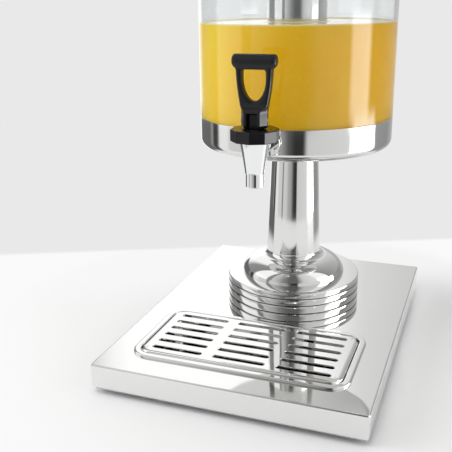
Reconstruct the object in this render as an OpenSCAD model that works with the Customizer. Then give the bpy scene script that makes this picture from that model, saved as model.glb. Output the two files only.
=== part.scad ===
// Juice dispenser: a polished steel base with a drip tray, a pedestal column, a clear canister in a steel
// bowl, a lever tap at the front, and a lid that carries an ice tube. Millimetres, +Z up, +Y to the back.
// The origin is on the table, under the middle of the base.

/* [Base] */
// Width of the base casing
base_w = 260; // [240:1:320]
// Depth of the base casing
base_d = 350; // [346:1:420]
// Height of the base casing, with its bottom plate
base_h = 25; // [24:0.5:36]
// Radius of the casing's upright corners
base_corner_r = 2.5; // [2.2:0.1:6]
// Sheet thickness of the casing
base_sheet = 1.2; // [0.8:0.1:2]
// Width of the flange folded in at the foot of the casing
base_flange_w = 14; // [12:0.5:18]
// Thickness of the bottom plate
plate_t = 1.5; // [1:0.1:2.5]
// How far the bottom plate stays back from the casing's sides
plate_inset = 2; // [1:0.5:4]
// Radius of the stiffening disc under the column
stiffener_r = 55; // [40:1:65]
// Thickness of the stiffening disc
stiffener_t = 3; // [2:0.5:4]

/* [Feet] */
// Radius of a rubber foot
foot_r = 12; // [9:0.5:15]
// Height of a rubber foot
foot_h = 5; // [4:0.5:8]
// Distance of a foot's middle from the sides of the base
foot_inset = 25; // [22:1:32]
// Shank radius of a foot screw
foot_screw_r = 2; // [1.5:0.1:2.5]

/* [Drip tray] */
// Distance of the tray's rim from the front of the base
tray_front_gap = 28; // [15:1:40]
// Width of the tray over its rim
tray_w = 211; // [190:1:216]
// Depth of the tray over its rim
tray_d = 111; // [105:1:130]
// Corner radius of the tray's rim
tray_corner_r = 19; // [15:0.5:24]
// Width of the tray's rim
tray_rim_w = 5.5; // [4:0.5:8]
// Height of the tray's rim above the base
tray_rim_h = 2.4; // [2:0.1:4]
// Sheet thickness of the tray
tray_sheet = 1; // [0.8:0.1:1.4]
// Width of the ledge that carries the grille
tray_ledge_w = 4; // [3:0.5:6]
// Depth of the ledge below the rim
tray_ledge_drop = 5; // [4:0.5:7]
// Gap between the tray's floor and the bottom plate
tray_floor_gap = 1.5; // [1:0.1:4]
// Play of the tray in the base's cut-out
tray_cut_gap = 2.4; // [1:0.1:2.6]

/* [Grille] */
// How far the grille stands above the tray's rim
grille_proud = 1.2; // [0.5:0.1:3]
// Sheet thickness of the grille
grille_sheet = 1.2; // [0.8:0.1:1.6]
// Length of a slot
slot_l = 51; // [40:0.5:54]
// Width of a slot
slot_w = 5.4; // [3:0.1:6]
// Rows of slots
slot_rows = 6; // [4:1:6]
// Distance between rows
slot_row_pitch = 14.56; // [10:0.01:15]
// Columns of slots
slot_columns = 3; // [1:1:3]
// Distance between columns
slot_column_pitch = 62; // [58:0.1:65]

/* [Pedestal] */
// Gap between the tray's rim and the collar
collar_gap = 24; // [2:1:30]
// Radius of the ribbed collar
collar_r = 74.5; // [68:0.5:80]
// Height of the ribbed collar
collar_h = 23.5; // [16:0.5:40]
// Ribs round the collar
collar_ribs = 3; // [2:1:6]
// Height of a rib over that of the rib below it
collar_rib_share = 0.87; // [0.75:0.01:0.98]
// How far a rib bulges
collar_rib_bulge = 1.5; // [0.5:0.1:2]
// Wall of the collar behind its ribs
collar_wall = 2; // [1.5:0.1:3]
// Radius of the dome's foot
dome_r = 57.5; // [48:0.5:62]
// Rise of the dome above the collar
dome_rise = 20.5; // [12:0.5:26]
// Radius of the hollow that leads from the dome into the column
dome_fillet_r = 7; // [4:0.5:9]
// Radius of the column at its foot
column_foot_r = 29.8; // [26:0.1:32]
// Radius of the column under the bowl
column_top_r = 25.1; // [22:0.1:29]
// Height of the column
column_h = 120.5; // [100:0.5:180]
// Wall of the dome and the column
column_wall = 1.5; // [1:0.1:2.5]
// Radius of the tie rod that clamps the pedestal together
rod_r = 5; // [4:0.1:6]

/* [Canister] */
// Outer radius of the canister and of the steel band under it
canister_r = 102; // [95:0.5:106]
// Wall of the canister
canister_wall = 3.5; // [3:0.1:5]
// Height of the canister's top edge above the column
canister_h = 314.5; // [260:0.5:400]
// Thickness of the canister's floor
canister_floor = 4; // [3:0.1:6]
// Height of the straight steel band round the canister's foot
band_h = 23; // [21:0.5:35]
// Radius of the bend under the band
bowl_bend_r = 9; // [7:0.5:10]
// Sheet thickness of the bowl
bowl_sheet = 1.2; // [0.8:0.1:1.5]
// Thickness of the soft pad between bowl and canister
pad_t = 2; // [1:0.1:3]
// Level of the juice above the canister's floor
juice_h = 121; // [60:1:220]

/* [Tap] */
// Distance of the tap's axis in front of the canister
tap_reach = 38.5; // [36:0.5:55]
// Height of the tap's shank above the column
shank_rise = 20.2; // [19.5:0.1:22]
// Radius of the threaded shank
shank_r = 6.5; // [5.5:0.1:6.5]
// Radius of the shank's outer neck
neck_r = 8.5; // [7.5:0.1:8.5]
// Radius of the flange against the band
flange_r = 13.7; // [12:0.1:15]
// Thickness of the flange
flange_t = 3; // [2:0.1:5]
// Radius of the spout
spout_r = 8.4; // [7:0.1:9]
// Length of the straight spout
spout_l = 12.8; // [8:0.1:25]
// Radius of the spout's bore
spout_bore_r = 5.5; // [4:0.1:5.5]
// Radius of the tap's cone at its top
cone_r = 13.9; // [11.5:0.1:15]
// Height of the tap's cone
cone_h = 27.9; // [24:0.1:34]
// Radius of the valve chamber
chamber_r = 8; // [7.8:0.1:8.4]
// Radius of the bonnet over its corners
bonnet_r = 22.3; // [21:0.1:26]
// Flats round the bonnet
bonnet_sides = 10; // [8:1:12]
// Angle of a corner of the bonnet where its thread stops
bonnet_turn = 23; // [0:1:45]
// Height of the bonnet
bonnet_h = 11; // [10:0.1:14]
// Radius of the valve's stem
stem_r = 2.5; // [2:0.1:3]
// Thickness of the soft cup that closes the valve
seat_cup_h = 5; // [3.5:0.1:5.5]

/* [Lever] */
// Width of the lever's neck
lever_neck_w = 25; // [22:0.1:27]
// Depth of the lever's neck
lever_neck_d = 20; // [18:0.1:21]
// Radius of the neck's upright corners
lever_corner_r = 7; // [3:0.5:8]
// Rounding of the foot on which the lever rocks
lever_foot_r = 4; // [2:0.5:5]
// Width of the fork in the neck
fork_w = 10.2; // [9:0.1:11.5]
// Height of the fork
fork_h = 17; // [16:0.1:19]
// Height of the hinge pin above the lever's foot
pin_rise = 7.7; // [7:0.1:8.5]
// Radius of the hinge pin
pin_r = 2; // [1.5:0.1:2.2]
// Height of the neck
lever_neck_h = 23; // [21:0.1:26]
// Width over the arms under the cross bar
arms_w = 33.8; // [30:0.1:38]
// Depth of the arms
arms_d = 9.5; // [8:0.1:11]
// Width of the finger opening
opening_w = 22.2; // [18:0.1:23]
// Height of the finger opening
opening_h = 27.4; // [25:0.1:32]
// Length of the cross bar
bar_l = 41; // [38:0.1:50]
// Radius of the cross bar
bar_r = 6; // [5:0.1:7]

/* [Lid and ice tube] */
// Sheet thickness of the lid
lid_sheet = 1.2; // [0.8:0.1:1.6]
// Depth of the lid's skirt
lid_skirt_h = 12; // [8:0.5:20]
// Rise of the lid's crown
lid_rise = 11; // [6:0.5:16]
// Outer radius of the ice tube
ice_tube_r = 30.75; // [26:0.25:34]
// Wall of the ice tube
ice_tube_wall = 1; // [0.8:0.1:1.5]
// Width of the ice tube's flange
ice_flange_w = 7.5; // [5:0.5:9]
// Gap between the ice tube's foot and the canister's floor
ice_tube_gap = 32; // [26:1:60]
// Depth of the cap's plug in the ice tube
cap_plug_h = 10; // [6:0.5:15]
// Rise of the cap
cap_rise = 5; // [4:0.5:9]
// Height of the cap's knob
knob_h = 26.4; // [20:0.1:36]
// Radius of the cap's knob
knob_r = 15; // [12:0.5:18]

/* [Hidden] */
$fn = 96;

// Clearances
cut = 1;                // overrun of a cut past a face
thread_gap = 0.05;      // screw or stud in its thread
hole_gap = 0.4;         // screw or shank in a plain hole
nest_gap = 0.3;         // pieces that nest and stay put
lift_gap = 0.6;         // pieces that lift out of each other
run_gap = 0.06;         // pin and stem in their bores
rock_gap = 0.25;        // lever's foot above the bonnet
seal_gap = 0.05;        // soft washer against a round wall

// Heights above the table
plate_z = foot_h;
casing_z = plate_z + plate_t;
base_top = foot_h + base_h;
casing_inside_z = base_top - base_sheet;
collar_top = base_top + collar_h;
dome_a = dome_r - column_foot_r;
dome_shoulder_z = collar_top + dome_rise * sqrt(1 - pow(dome_fillet_r / dome_a, 2));
column_z = dome_shoulder_z + dome_fillet_r;
bowl_z = column_z + column_h;
band_z = bowl_z + bowl_bend_r;
band_top = band_z + band_h;
pad_z = bowl_z + bowl_sheet;
canister_z = pad_z + pad_t;
floor_z = canister_z + canister_floor;
canister_top = bowl_z + canister_h;
juice_top = floor_z + juice_h;

// Places in plan
tray_y = -base_d / 2 + tray_front_gap + tray_d / 2;
axis_y = tray_y + tray_d / 2 + collar_gap + collar_r;
wall_y = axis_y - canister_r;
tap_y = wall_y - tap_reach;

// Fasteners
plate_screw_r = 1.75;
plate_screw_head_r = 3.4;
plate_screw_head_h = 2;
plate_screw_l = 6;
foot_head_r = foot_screw_r * 1.9;
foot_head_h = 2;
foot_recess = 3;
foot_nut_h = foot_screw_r * 1.6;
washer_t = 2;
washer_r = rod_r * 2.4;
rod_nut_r = rod_r * 1.96;
rod_nut_h = rod_r * 1.6;
rod_end = 3;
rod_seal_t = 2;
rod_seal_r = rod_r * 2.6;
cap_nut_h = rod_r * 1.7;
cap_nut_face_r = rod_r * 2.2;
cap_nut_dome_r = rod_nut_r * 0.85;
screw_end = 1;

// Canister
canister_in_r = canister_r - canister_wall;
spigot_r = canister_r - bowl_sheet - nest_gap;
spigot_chamfer = band_z - canister_z;

// Tap
neck_web = 0.5;
cone_lip_h = 2.5;
bonnet_wall = 3;        // at the middle of a flat
bonnet_roof = 4;
shank_wall = 2.7;
shank_nut_wall = 4.3;
shank_nut_h = 7;
seal_t = 2;
seal_inset = 1;
inner_seal_w = 2.8;
shank_z = bowl_z + shank_rise;
bonnet_z = shank_z + neck_r + neck_web;
cone_top = bonnet_z - cone_lip_h;
cone_z = cone_top - cone_h;
spout_z = cone_z - spout_l;
bonnet_top = bonnet_z + bonnet_h;
head_r = bonnet_r * cos(180 / bonnet_sides) - bonnet_wall - nest_gap;
head_top = bonnet_top - bonnet_roof;
seat_z = shank_z - chamber_r;
flange_y = wall_y - seal_t - flange_t;
inner_seal_r = shank_r + inner_seal_w;
inner_seal_y = axis_y - canister_in_r;
nut_y = inner_seal_y + seal_t;
shank_nut_r = shank_r + shank_nut_wall;
shank_end_y = nut_y + shank_nut_h + seal_t;
shank_bore_r = shank_r - shank_wall;

// Valve and its spring
tongue_w = fork_w - 2 * lift_gap;
tongue_d = 8;
tongue_h = 12;
fork_room = 2.2;        // behind the tongue, for the lever to tip
spring_wire_r = 0.5;
spring_turns = 6;
spring_r = (chamber_r + stem_r) / 2;
spring_z = seat_z + seat_cup_h;
stem_plug = 4;

// Lever
opening_web = 1.4;
opening_belly = 0.72;
neck_taper = 3;
loop_overlap = 4;
bar_end = 3;
lever_z = bonnet_top + rock_gap;
pin_z = lever_z + pin_rise;
lever_neck_top = lever_z + lever_neck_h;
opening_z = lever_neck_top + opening_web;
opening_top = opening_z + opening_h;
opening_corner_r = 3;
bar_z = opening_top + opening_web + bar_r;

// Tray and grille
well_w = tray_w - 2 * tray_rim_w;
well_d = tray_d - 2 * tray_rim_w;
well_r = tray_corner_r - tray_rim_w;
rim_top = base_top + tray_rim_h;
ledge_z = rim_top - tray_ledge_drop;
tray_floor_z = casing_z + tray_floor_gap;
grille_in = tray_sheet + lift_gap;
grille_w = well_w - 2 * grille_in;
grille_d = well_d - 2 * grille_in;
grille_r = well_r - grille_in;
grille_top = rim_top + grille_proud;

// Lid, ice tube and cap
lid_in_r = canister_r + lift_gap;
lid_r = lid_in_r + lid_sheet;
lid_edge_z = canister_top + lid_sheet;
crown_margin = 6;
crown_out_r = canister_in_r - crown_margin;
crown_in_r = ice_tube_r + ice_flange_w;
lid_hole_r = ice_tube_r + lift_gap;
lid_top = lid_edge_z + lid_rise;
lid_seal_w = 3;
lid_seal_h = 6;
ice_tube_z = floor_z + ice_tube_gap;
ice_flange_z = lid_top + ice_tube_wall;
ice_tube_in_r = ice_tube_r - ice_tube_wall;
cap_sheet = 1.2;
cap_top = ice_flange_z + cap_rise;
cap_flat_r = knob_r * 0.7;
knob_neck_r = knob_r * 0.45;
knob_screw_r = 2;
knob_screw_head_r = 4;
knob_screw_head_h = 2.4;
knob_screw_l = 12;

// Finishes
polished = [0.80, 0.81, 0.82];
chrome = [0.86, 0.87, 0.88];
zinc = [0.66, 0.67, 0.68];
rubber = [0.10, 0.10, 0.10];
silicone = [0.88, 0.88, 0.85];
black = [0.05, 0.05, 0.055];
clear = [0.90, 0.95, 0.97, 0.3];
juice = [0.93, 0.72, 0.16];

// Points on an arc of an ellipse, from one angle to another
function arc(centre, a, b, from, to, steps) =
    [for (i = [0:steps]) let (t = from + (to - from) * i / steps) centre + [a * cos(t), b * sin(t)]];

// A rectangle with round corners
module rounded_rect(w, d, r) {
    square([w - 2 * r, d], center = true);
    square([w, d - 2 * r], center = true);
    for (x = [-1, 1], y = [-1, 1]) translate([x * (w / 2 - r), y * (d / 2 - r)]) circle(r);
}

// A plate or block with round upright corners, from one height to another
module slab(w, d, r, z0, z1) {
    translate([0, 0, z0]) linear_extrude(z1 - z0) rounded_rect(w, d, r);
}

// An upright round bar between two heights
module post(r, z0, z1) {
    translate([0, 0, z0]) cylinder(r = r, h = z1 - z0);
}

// An upright bar with flat sides between two heights, and one with six
module prism(r, sides, z0, z1) {
    translate([0, 0, z0]) cylinder(r = r, h = z1 - z0, $fn = sides);
}
module hexagon(r, z0, z1) {
    prism(r, 6, z0, z1);
}

// A round bar along +Y, from one depth to another, at the height of the shank
module shank_bar(r, y0, y1) {
    translate([0, y0, shank_z]) rotate([-90, 0, 0]) cylinder(r = r, h = y1 - y0);
}

// A round bar along X, centred, at the height of the hinge pin
module cross_bar(r, l) {
    translate([0, tap_y, pin_z]) rotate([0, 90, 0]) cylinder(r = r, h = l, center = true);
}

// Moves a piece to the pedestal's axis, the tap's axis or the tray's middle
module on_axis() { translate([0, axis_y, 0]) children(); }
module on_tap() { translate([0, tap_y, 0]) children(); }
module on_tray() { translate([0, tray_y, 0]) children(); }

// Repeats a piece at the feet, or at the screws of the bottom plate
module at_feet() {
    for (x = [-1, 1], y = [-1, 1])
        translate([x * (base_w / 2 - foot_inset), y * (base_d / 2 - foot_inset), 0]) children();
}
module at_plate_screws() {
    edge = base_flange_w * 0.6;
    for (x = [-1, 1], y = [-1, 0, 1]) translate([x * (base_w / 2 - edge), y * base_d / 3, 0]) children();
    for (y = [-1, 1]) translate([0, y * (base_d / 2 - edge), 0]) children();
}

module base_shell() {
    color(polished) difference() {
        slab(base_w, base_d, base_corner_r, casing_z, base_top);
        slab(base_w - 2 * base_sheet, base_d - 2 * base_sheet, base_corner_r - base_sheet,
            casing_z + base_sheet, casing_inside_z);
        slab(base_w - 2 * base_flange_w, base_d - 2 * base_flange_w, base_corner_r,
            casing_z - cut, casing_z + base_sheet + cut);
        on_tray() slab(well_w + 2 * tray_cut_gap, well_d + 2 * tray_cut_gap, well_r + tray_cut_gap,
            casing_inside_z - cut, base_top + cut);
        on_axis() post(rod_r + hole_gap, casing_inside_z - cut, base_top + cut);
        at_plate_screws() post(plate_screw_r + hole_gap, casing_z - cut, casing_z + base_sheet + cut);
    }
}

module base_plate() {
    color(zinc) difference() {
        slab(base_w - 2 * plate_inset, base_d - 2 * plate_inset, base_corner_r, plate_z, casing_z);
        at_plate_screws() post(plate_screw_r + hole_gap, plate_z - cut, casing_z + cut);
        at_feet() post(foot_screw_r + hole_gap, plate_z - cut, casing_z + cut);
    }
}

module plate_screws() {
    color(zinc) at_plate_screws() {
        post(plate_screw_r, plate_z, plate_z + plate_screw_l);
        post(plate_screw_head_r, plate_z - plate_screw_head_h, plate_z);
    }
}

module rubber_feet() {
    color(rubber) at_feet() difference() {
        post(foot_r, 0, foot_h);
        post(foot_screw_r + hole_gap, -cut, foot_h + cut);
        post(foot_head_r + hole_gap, -cut, foot_recess);
    }
}

module foot_screws() {
    color(zinc) at_feet() {
        post(foot_head_r, foot_recess - foot_head_h, foot_recess);
        post(foot_screw_r, foot_recess, casing_z + foot_nut_h + screw_end);
    }
}

module foot_nuts() {
    color(zinc) at_feet() difference() {
        hexagon(foot_screw_r * 2, casing_z, casing_z + foot_nut_h);
        post(foot_screw_r + thread_gap, casing_z - cut, casing_z + foot_nut_h + cut);
    }
}

module base_stiffener() {
    color(zinc) on_axis() difference() {
        post(stiffener_r, casing_inside_z - stiffener_t, casing_inside_z);
        post(rod_r + hole_gap, casing_inside_z - stiffener_t - cut, casing_inside_z + cut);
    }
}

// Height of a rib's foot: the ribs grow lower from the base upwards, each by the same share
function rib_z(i) =
    base_top + collar_h * (1 - pow(collar_rib_share, i)) / (1 - pow(collar_rib_share, collar_ribs));

// A drum whose side is a stack of rounded ribs, hollow below, with a round opening in its flat top
module foot_collar() {
    root_r = collar_r - collar_rib_bulge;
    ribs = [for (i = [0:collar_ribs - 1]) let (low = rib_z(i), high = rib_z(i + 1))
        each arc([root_r, (low + high) / 2], collar_rib_bulge, (high - low) / 2, -80, 80, 8)];
    inner_r = root_r - collar_wall;
    hole_r = column_foot_r + collar_wall;
    color(polished) on_axis() rotate_extrude() polygon(concat(
        [[inner_r, base_top], [root_r, base_top]], ribs,
        [[root_r - collar_rib_bulge, collar_top], [hole_r, collar_top],
         [hole_r, collar_top - collar_wall], [inner_r, collar_top - collar_wall]]));
}

// A spun bell: a quarter ellipse up to a hollow that leads into the column
module column_dome() {
    start = acos(dome_fillet_r / dome_a);
    hollow_r = column_foot_r + dome_fillet_r;
    outer = concat(
        arc([column_foot_r, collar_top], dome_a, dome_rise, 0, start, 12),
        arc([hollow_r, column_z], dome_fillet_r, dome_fillet_r, 260, 180, 8));
    inner_fillet = dome_fillet_r + column_wall;
    inner = concat(
        arc([hollow_r, column_z], inner_fillet, inner_fillet, 180, 260, 8),
        arc([column_foot_r, collar_top], dome_a - column_wall, dome_rise - column_wall, start, 0, 12));
    color(polished) on_axis() rotate_extrude() polygon(concat(outer, inner));
}

module column_tube() {
    color(polished) on_axis() rotate_extrude() polygon([
        [column_foot_r - column_wall, column_z], [column_foot_r, column_z],
        [column_top_r, bowl_z], [column_top_r - column_wall, bowl_z]]);
}

rod_low_z = casing_inside_z - stiffener_t - washer_t - rod_nut_h - rod_end;
rod_high_z = floor_z + rod_seal_t + cap_nut_h;

module tie_rod() {
    color(zinc) on_axis() post(rod_r, rod_low_z, rod_high_z);
}

module rod_washer() {
    top = casing_inside_z - stiffener_t;
    color(zinc) on_axis() difference() {
        post(washer_r, top - washer_t, top);
        post(rod_r + hole_gap, top - washer_t - cut, top + cut);
    }
}

module rod_nut() {
    top = casing_inside_z - stiffener_t - washer_t;
    color(zinc) on_axis() difference() {
        hexagon(rod_nut_r, top - rod_nut_h, top);
        post(rod_r + thread_gap, top - rod_nut_h - cut, top + cut);
    }
}

module rod_seal() {
    color(silicone) on_axis() difference() {
        post(rod_seal_r, floor_z, floor_z + rod_seal_t);
        post(rod_r + hole_gap, floor_z - cut, floor_z + rod_seal_t + cut);
    }
}

// A closed nut with a washer face and a domed top
module rod_cap_nut() {
    foot = floor_z + rod_seal_t;
    color(polished) on_axis() difference() {
        union() {
            post(cap_nut_face_r, foot, foot + washer_t);
            hexagon(rod_nut_r, foot, foot + cap_nut_h);
            translate([0, 0, foot + cap_nut_h]) intersection() {
                sphere(r = cap_nut_dome_r);
                post(rod_nut_r, 0, rod_nut_r);
            }
        }
        post(rod_r + thread_gap, foot - cut, foot + cap_nut_h + thread_gap);
    }
}

// A pressed bowl: flat floor, a bend, and the straight band
module bowl() {
    bend_in = canister_r - bowl_bend_r;
    inner_bend = bowl_bend_r - bowl_sheet;
    hole_r = rod_r + hole_gap;
    color(polished) difference() {
        on_axis() rotate_extrude() polygon(concat(
            [[hole_r, bowl_z]], arc([bend_in, band_z], bowl_bend_r, bowl_bend_r, 270, 360, 12),
            [[canister_r, band_top], [canister_r - bowl_sheet, band_top]],
            arc([bend_in, band_z], inner_bend, inner_bend, 360, 270, 12), [[hole_r, pad_z]]));
        shank_bar(shank_r + hole_gap, wall_y - cut, wall_y + bowl_bend_r);
    }
}

module bowl_pad() {
    color(silicone) on_axis() difference() {
        post(canister_r - 2 * bowl_bend_r, pad_z, canister_z);
        post(rod_r + hole_gap, pad_z - cut, canister_z + cut);
    }
}

// The clear cylinder, with a stepped foot that nests inside the band
module canister() {
    shoulder_z = band_top + nest_gap;
    foot_r = spigot_r - spigot_chamfer;
    inner_chamfer = canister_in_r - foot_r;
    color(clear) difference() {
        on_axis() rotate_extrude() polygon([
            [rod_r + hole_gap, canister_z], [foot_r, canister_z], [spigot_r, canister_z + spigot_chamfer],
            [spigot_r, shoulder_z], [canister_r, shoulder_z], [canister_r, canister_top],
            [canister_in_r, canister_top], [canister_in_r, floor_z + inner_chamfer], [foot_r, floor_z],
            [rod_r + hole_gap, floor_z]]);
        shank_bar(shank_r + hole_gap, wall_y - cut, wall_y + bowl_bend_r);
    }
}

// The liquid, clear of the ice tube, the nut in the floor and the tap's shank
module juice_fill() {
    foot_r = spigot_r - spigot_chamfer - nest_gap;
    fill_r = canister_in_r - nest_gap;
    nut_room = rod_high_z + rod_nut_r + nest_gap;
    tap_room = shank_nut_r + nest_gap;
    color(juice) difference() {
        on_axis() rotate_extrude() polygon([
            [0, floor_z + nest_gap], [foot_r, floor_z + nest_gap],
            [fill_r, floor_z + nest_gap + fill_r - foot_r], [fill_r, juice_top], [0, juice_top]]);
        on_axis() post(ice_tube_r + lift_gap, ice_tube_z - lift_gap, juice_top + cut);
        on_axis() post(rod_seal_r + nest_gap, floor_z, nut_room);
        shank_bar(tap_room, wall_y, shank_end_y + nest_gap);
    }
}

// Spout, cone, threaded head and shank in one casting, bored through for the juice
module tap_body() {
    color(chrome) difference() {
        union() {
            on_tap() rotate_extrude() polygon([
                [0, spout_z], [spout_r, spout_z], [spout_r, cone_z], [cone_r, cone_top], [cone_r, bonnet_z],
                [head_r, bonnet_z], [head_r, head_top], [0, head_top]]);
            shank_bar(neck_r, tap_y, flange_y);
            shank_bar(shank_r, tap_y, shank_end_y);
        }
        on_tap() post(spout_bore_r, spout_z - cut, seat_z + cut);
        on_tap() post(chamber_r, seat_z, head_top + cut);
        shank_bar(shank_bore_r, tap_y, shank_end_y + cut);
    }
}

module tap_flange() {
    color(chrome) difference() {
        shank_bar(flange_r, flange_y, flange_y + flange_t);
        shank_bar(shank_r + hole_gap, flange_y - cut, flange_y + flange_t + cut);
    }
}

// A soft washer whose back follows the round band
module outer_seal() {
    color(rubber) difference() {
        shank_bar(flange_r - seal_inset, flange_y + flange_t, wall_y + seal_t);
        on_axis() post(canister_r + seal_gap, bowl_z - cut, canister_top, $fn = 720);
        shank_bar(shank_r + hole_gap, flange_y, wall_y + bowl_bend_r);
    }
}

// A soft washer whose front follows the canister's round inside
module inner_seal() {
    color(rubber) difference() {
        intersection() {
            shank_bar(inner_seal_r, wall_y, nut_y);
            on_axis() post(canister_in_r - seal_gap, bowl_z, canister_top, $fn = 720);
        }
        shank_bar(shank_r + hole_gap, wall_y, nut_y + cut);
    }
}

module shank_nut() {
    color(polished) difference() {
        translate([0, nut_y, shank_z]) rotate([-90, 0, 0]) hexagon(shank_nut_r, 0, shank_nut_h);
        shank_bar(shank_r + thread_gap, nut_y - cut, nut_y + shank_nut_h + cut);
    }
}

// A thick nut with flats, hollow below, that closes the valve's chamber
module tap_bonnet() {
    color(black) on_tap() difference() {
        rotate(bonnet_turn) prism(bonnet_r, bonnet_sides, bonnet_z, bonnet_top);
        post(head_r + nest_gap, bonnet_z - cut, head_top);
        post(stem_r + run_gap, head_top - cut, bonnet_top + cut);
    }
}

// A coil spring, one tube of six sides swept up a helix
module valve_spring() {
    sides = 6;
    steps = 10 * spring_turns;
    low = spring_z + spring_wire_r;
    rise = head_top - spring_wire_r - low;
    rings = [for (i = [0:steps]) let (a = 360 * spring_turns * i / steps)
        for (k = [0:sides - 1]) let (b = 360 * k / sides, r = spring_r + spring_wire_r * cos(b))
            [r * cos(a), r * sin(a), low + rise * i / steps + spring_wire_r * sin(b)]];
    walls = [for (i = [0:steps - 1], k = [0:sides - 1])
        let (p = i * sides + k, q = i * sides + (k + 1) % sides)
        each [[p, p + sides, q], [q, p + sides, q + sides]]];
    last = steps * sides;
    ends = [for (k = [1:sides - 2]) each [[0, k, k + 1], [last, last + k + 1, last + k]]];
    color(zinc) on_tap() polyhedron(rings, concat(walls, ends));
}

// The rod that lifts the soft cup, with a flat tongue for the lever's pin
module valve_stem() {
    tongue_z = bonnet_top + 2 * rock_gap;
    color(black) difference() {
        on_tap() union() {
            post(stem_r, seat_z + seat_cup_h - stem_plug, tongue_z + cut);
            translate([-tongue_w / 2, -tongue_d / 2, tongue_z]) cube([tongue_w, tongue_d, tongue_h]);
        }
        cross_bar(pin_r + run_gap, lever_neck_w);
    }
}

module seat_cup() {
    color(silicone) on_tap() difference() {
        post(chamber_r - lift_gap, seat_z, seat_z + seat_cup_h);
        post(stem_r + thread_gap, seat_z + seat_cup_h - stem_plug, seat_z + seat_cup_h + cut);
    }
}

// Half the width of the arms at a height: the neck's, swelling to the arms' full width
function arm_half_w(s) = (lever_neck_w + (arms_w - lever_neck_w) * s * (2 - s)) / 2;

// The lever's front outline above the fork, with the finger opening left out
module lever_loop() {
    steps = 12;
    low = lever_neck_top - loop_overlap;
    rise = bar_z - low;
    side = [for (i = [0:steps]) [arm_half_w(i / steps), low + rise * i / steps]];
    belly = opening_h * opening_belly;
    half = opening_w / 2;
    difference() {
        polygon(concat(side, [for (i = [steps:-1:0]) [-side[i][0], side[i][1]]]));
        polygon(concat(
            arc([0, opening_z + belly], half, belly, 180, 360, 20),
            arc([half - opening_corner_r, opening_top - opening_corner_r],
                opening_corner_r, opening_corner_r, 0, 90, 6),
            arc([opening_corner_r - half, opening_top - opening_corner_r],
                opening_corner_r, opening_corner_r, 90, 180, 6)));
    }
}

// The lever's side outline below the loop: a deep rounded foot that narrows towards the arms
module lever_neck_side() {
    foot = lever_neck_d / 2;
    tread = foot - lever_foot_r;
    heel_z = lever_z + lever_foot_r;
    arm = arms_d / 2;
    taper_z = lever_z + fork_h - neck_taper;
    polygon(concat(
        arc([-tread, heel_z], lever_foot_r, lever_foot_r, 180, 270, 6),
        arc([tread, heel_z], lever_foot_r, lever_foot_r, 270, 360, 6),
        [[foot, taper_z], [arm, lever_neck_top], [-arm, lever_neck_top], [-foot, taper_z]]));
}

// The neck: its side outline, with round upright corners
module lever_neck() {
    intersection() {
        rotate([90, 0, 90]) linear_extrude(lever_neck_w, center = true) lever_neck_side();
        slab(lever_neck_w, lever_neck_d, lever_corner_r, lever_z - cut, lever_neck_top + cut);
    }
}

module tap_lever() {
    color(black) difference() {
        union() {
            on_tap() rotate([90, 0, 0]) linear_extrude(arms_d, center = true) lever_loop();
            on_tap() lever_neck();
            translate([0, tap_y, bar_z]) rotate([0, 90, 0]) rotate_extrude() polygon(concat(
                [[0, -bar_l / 2]],
                arc([bar_r - bar_end, bar_end - bar_l / 2], bar_end, bar_end, 270, 360, 6),
                arc([bar_r - bar_end, bar_l / 2 - bar_end], bar_end, bar_end, 0, 90, 6),
                [[0, bar_l / 2]]));
        }
        on_tap() translate([-fork_w / 2, -lever_neck_d, lever_z - cut])
            cube([fork_w, lever_neck_d + tongue_d / 2 + fork_room, fork_h + cut]);
        cross_bar(pin_r + thread_gap / 2, lever_neck_w + cut);
    }
}

module lever_pin() {
    color(polished) cross_bar(pin_r, lever_neck_w);
}

// A pan with a turned rim that lies on the base, and a ledge all round for the grille
module drip_pan() {
    low_w = well_w - 2 * tray_ledge_w;
    low_d = well_d - 2 * tray_ledge_w;
    low_r = well_r - tray_ledge_w;
    color(polished) on_tray() difference() {
        union() {
            difference() {
                slab(tray_w, tray_d, tray_corner_r, base_top, rim_top);
                slab(tray_w - 2 * tray_sheet, tray_d - 2 * tray_sheet, tray_corner_r - tray_sheet,
                    base_top - cut, rim_top - tray_sheet);
            }
            slab(well_w, well_d, well_r, ledge_z - tray_sheet, rim_top);
            slab(low_w, low_d, low_r, tray_floor_z, ledge_z);
        }
        slab(well_w - 2 * tray_sheet, well_d - 2 * tray_sheet, well_r - tray_sheet, ledge_z, rim_top + cut);
        slab(low_w - 2 * tray_sheet, low_d - 2 * tray_sheet, low_r - tray_sheet,
            tray_floor_z + tray_sheet, ledge_z + cut);
    }
}

// One slot with round ends, along X
module slot() {
    reach = (slot_l - slot_w) / 2;
    square([2 * reach, slot_w], center = true);
    for (x = [-1, 1]) translate([x * reach, 0]) circle(slot_w / 2, $fn = 24);
}

// A shallow upturned tray of sheet, pierced with rows of slots
module drip_grille() {
    color(polished) on_tray() difference() {
        slab(grille_w, grille_d, grille_r, ledge_z, grille_top);
        slab(grille_w - 2 * grille_sheet, grille_d - 2 * grille_sheet, grille_r - grille_sheet,
            ledge_z - cut, grille_top - grille_sheet);
        translate([0, 0, grille_top - grille_sheet - cut]) linear_extrude(grille_sheet + 2 * cut)
            for (i = [0:slot_columns - 1], j = [0:slot_rows - 1])
                translate([(i - (slot_columns - 1) / 2) * slot_column_pitch,
                    (j - (slot_rows - 1) / 2) * slot_row_pitch]) slot();
    }
}

// Height of the lid's crown at a radius, above its flat edge
function crown(r) = lid_rise * (1 - pow((r - crown_in_r) / (crown_out_r - crown_in_r), 2));

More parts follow.
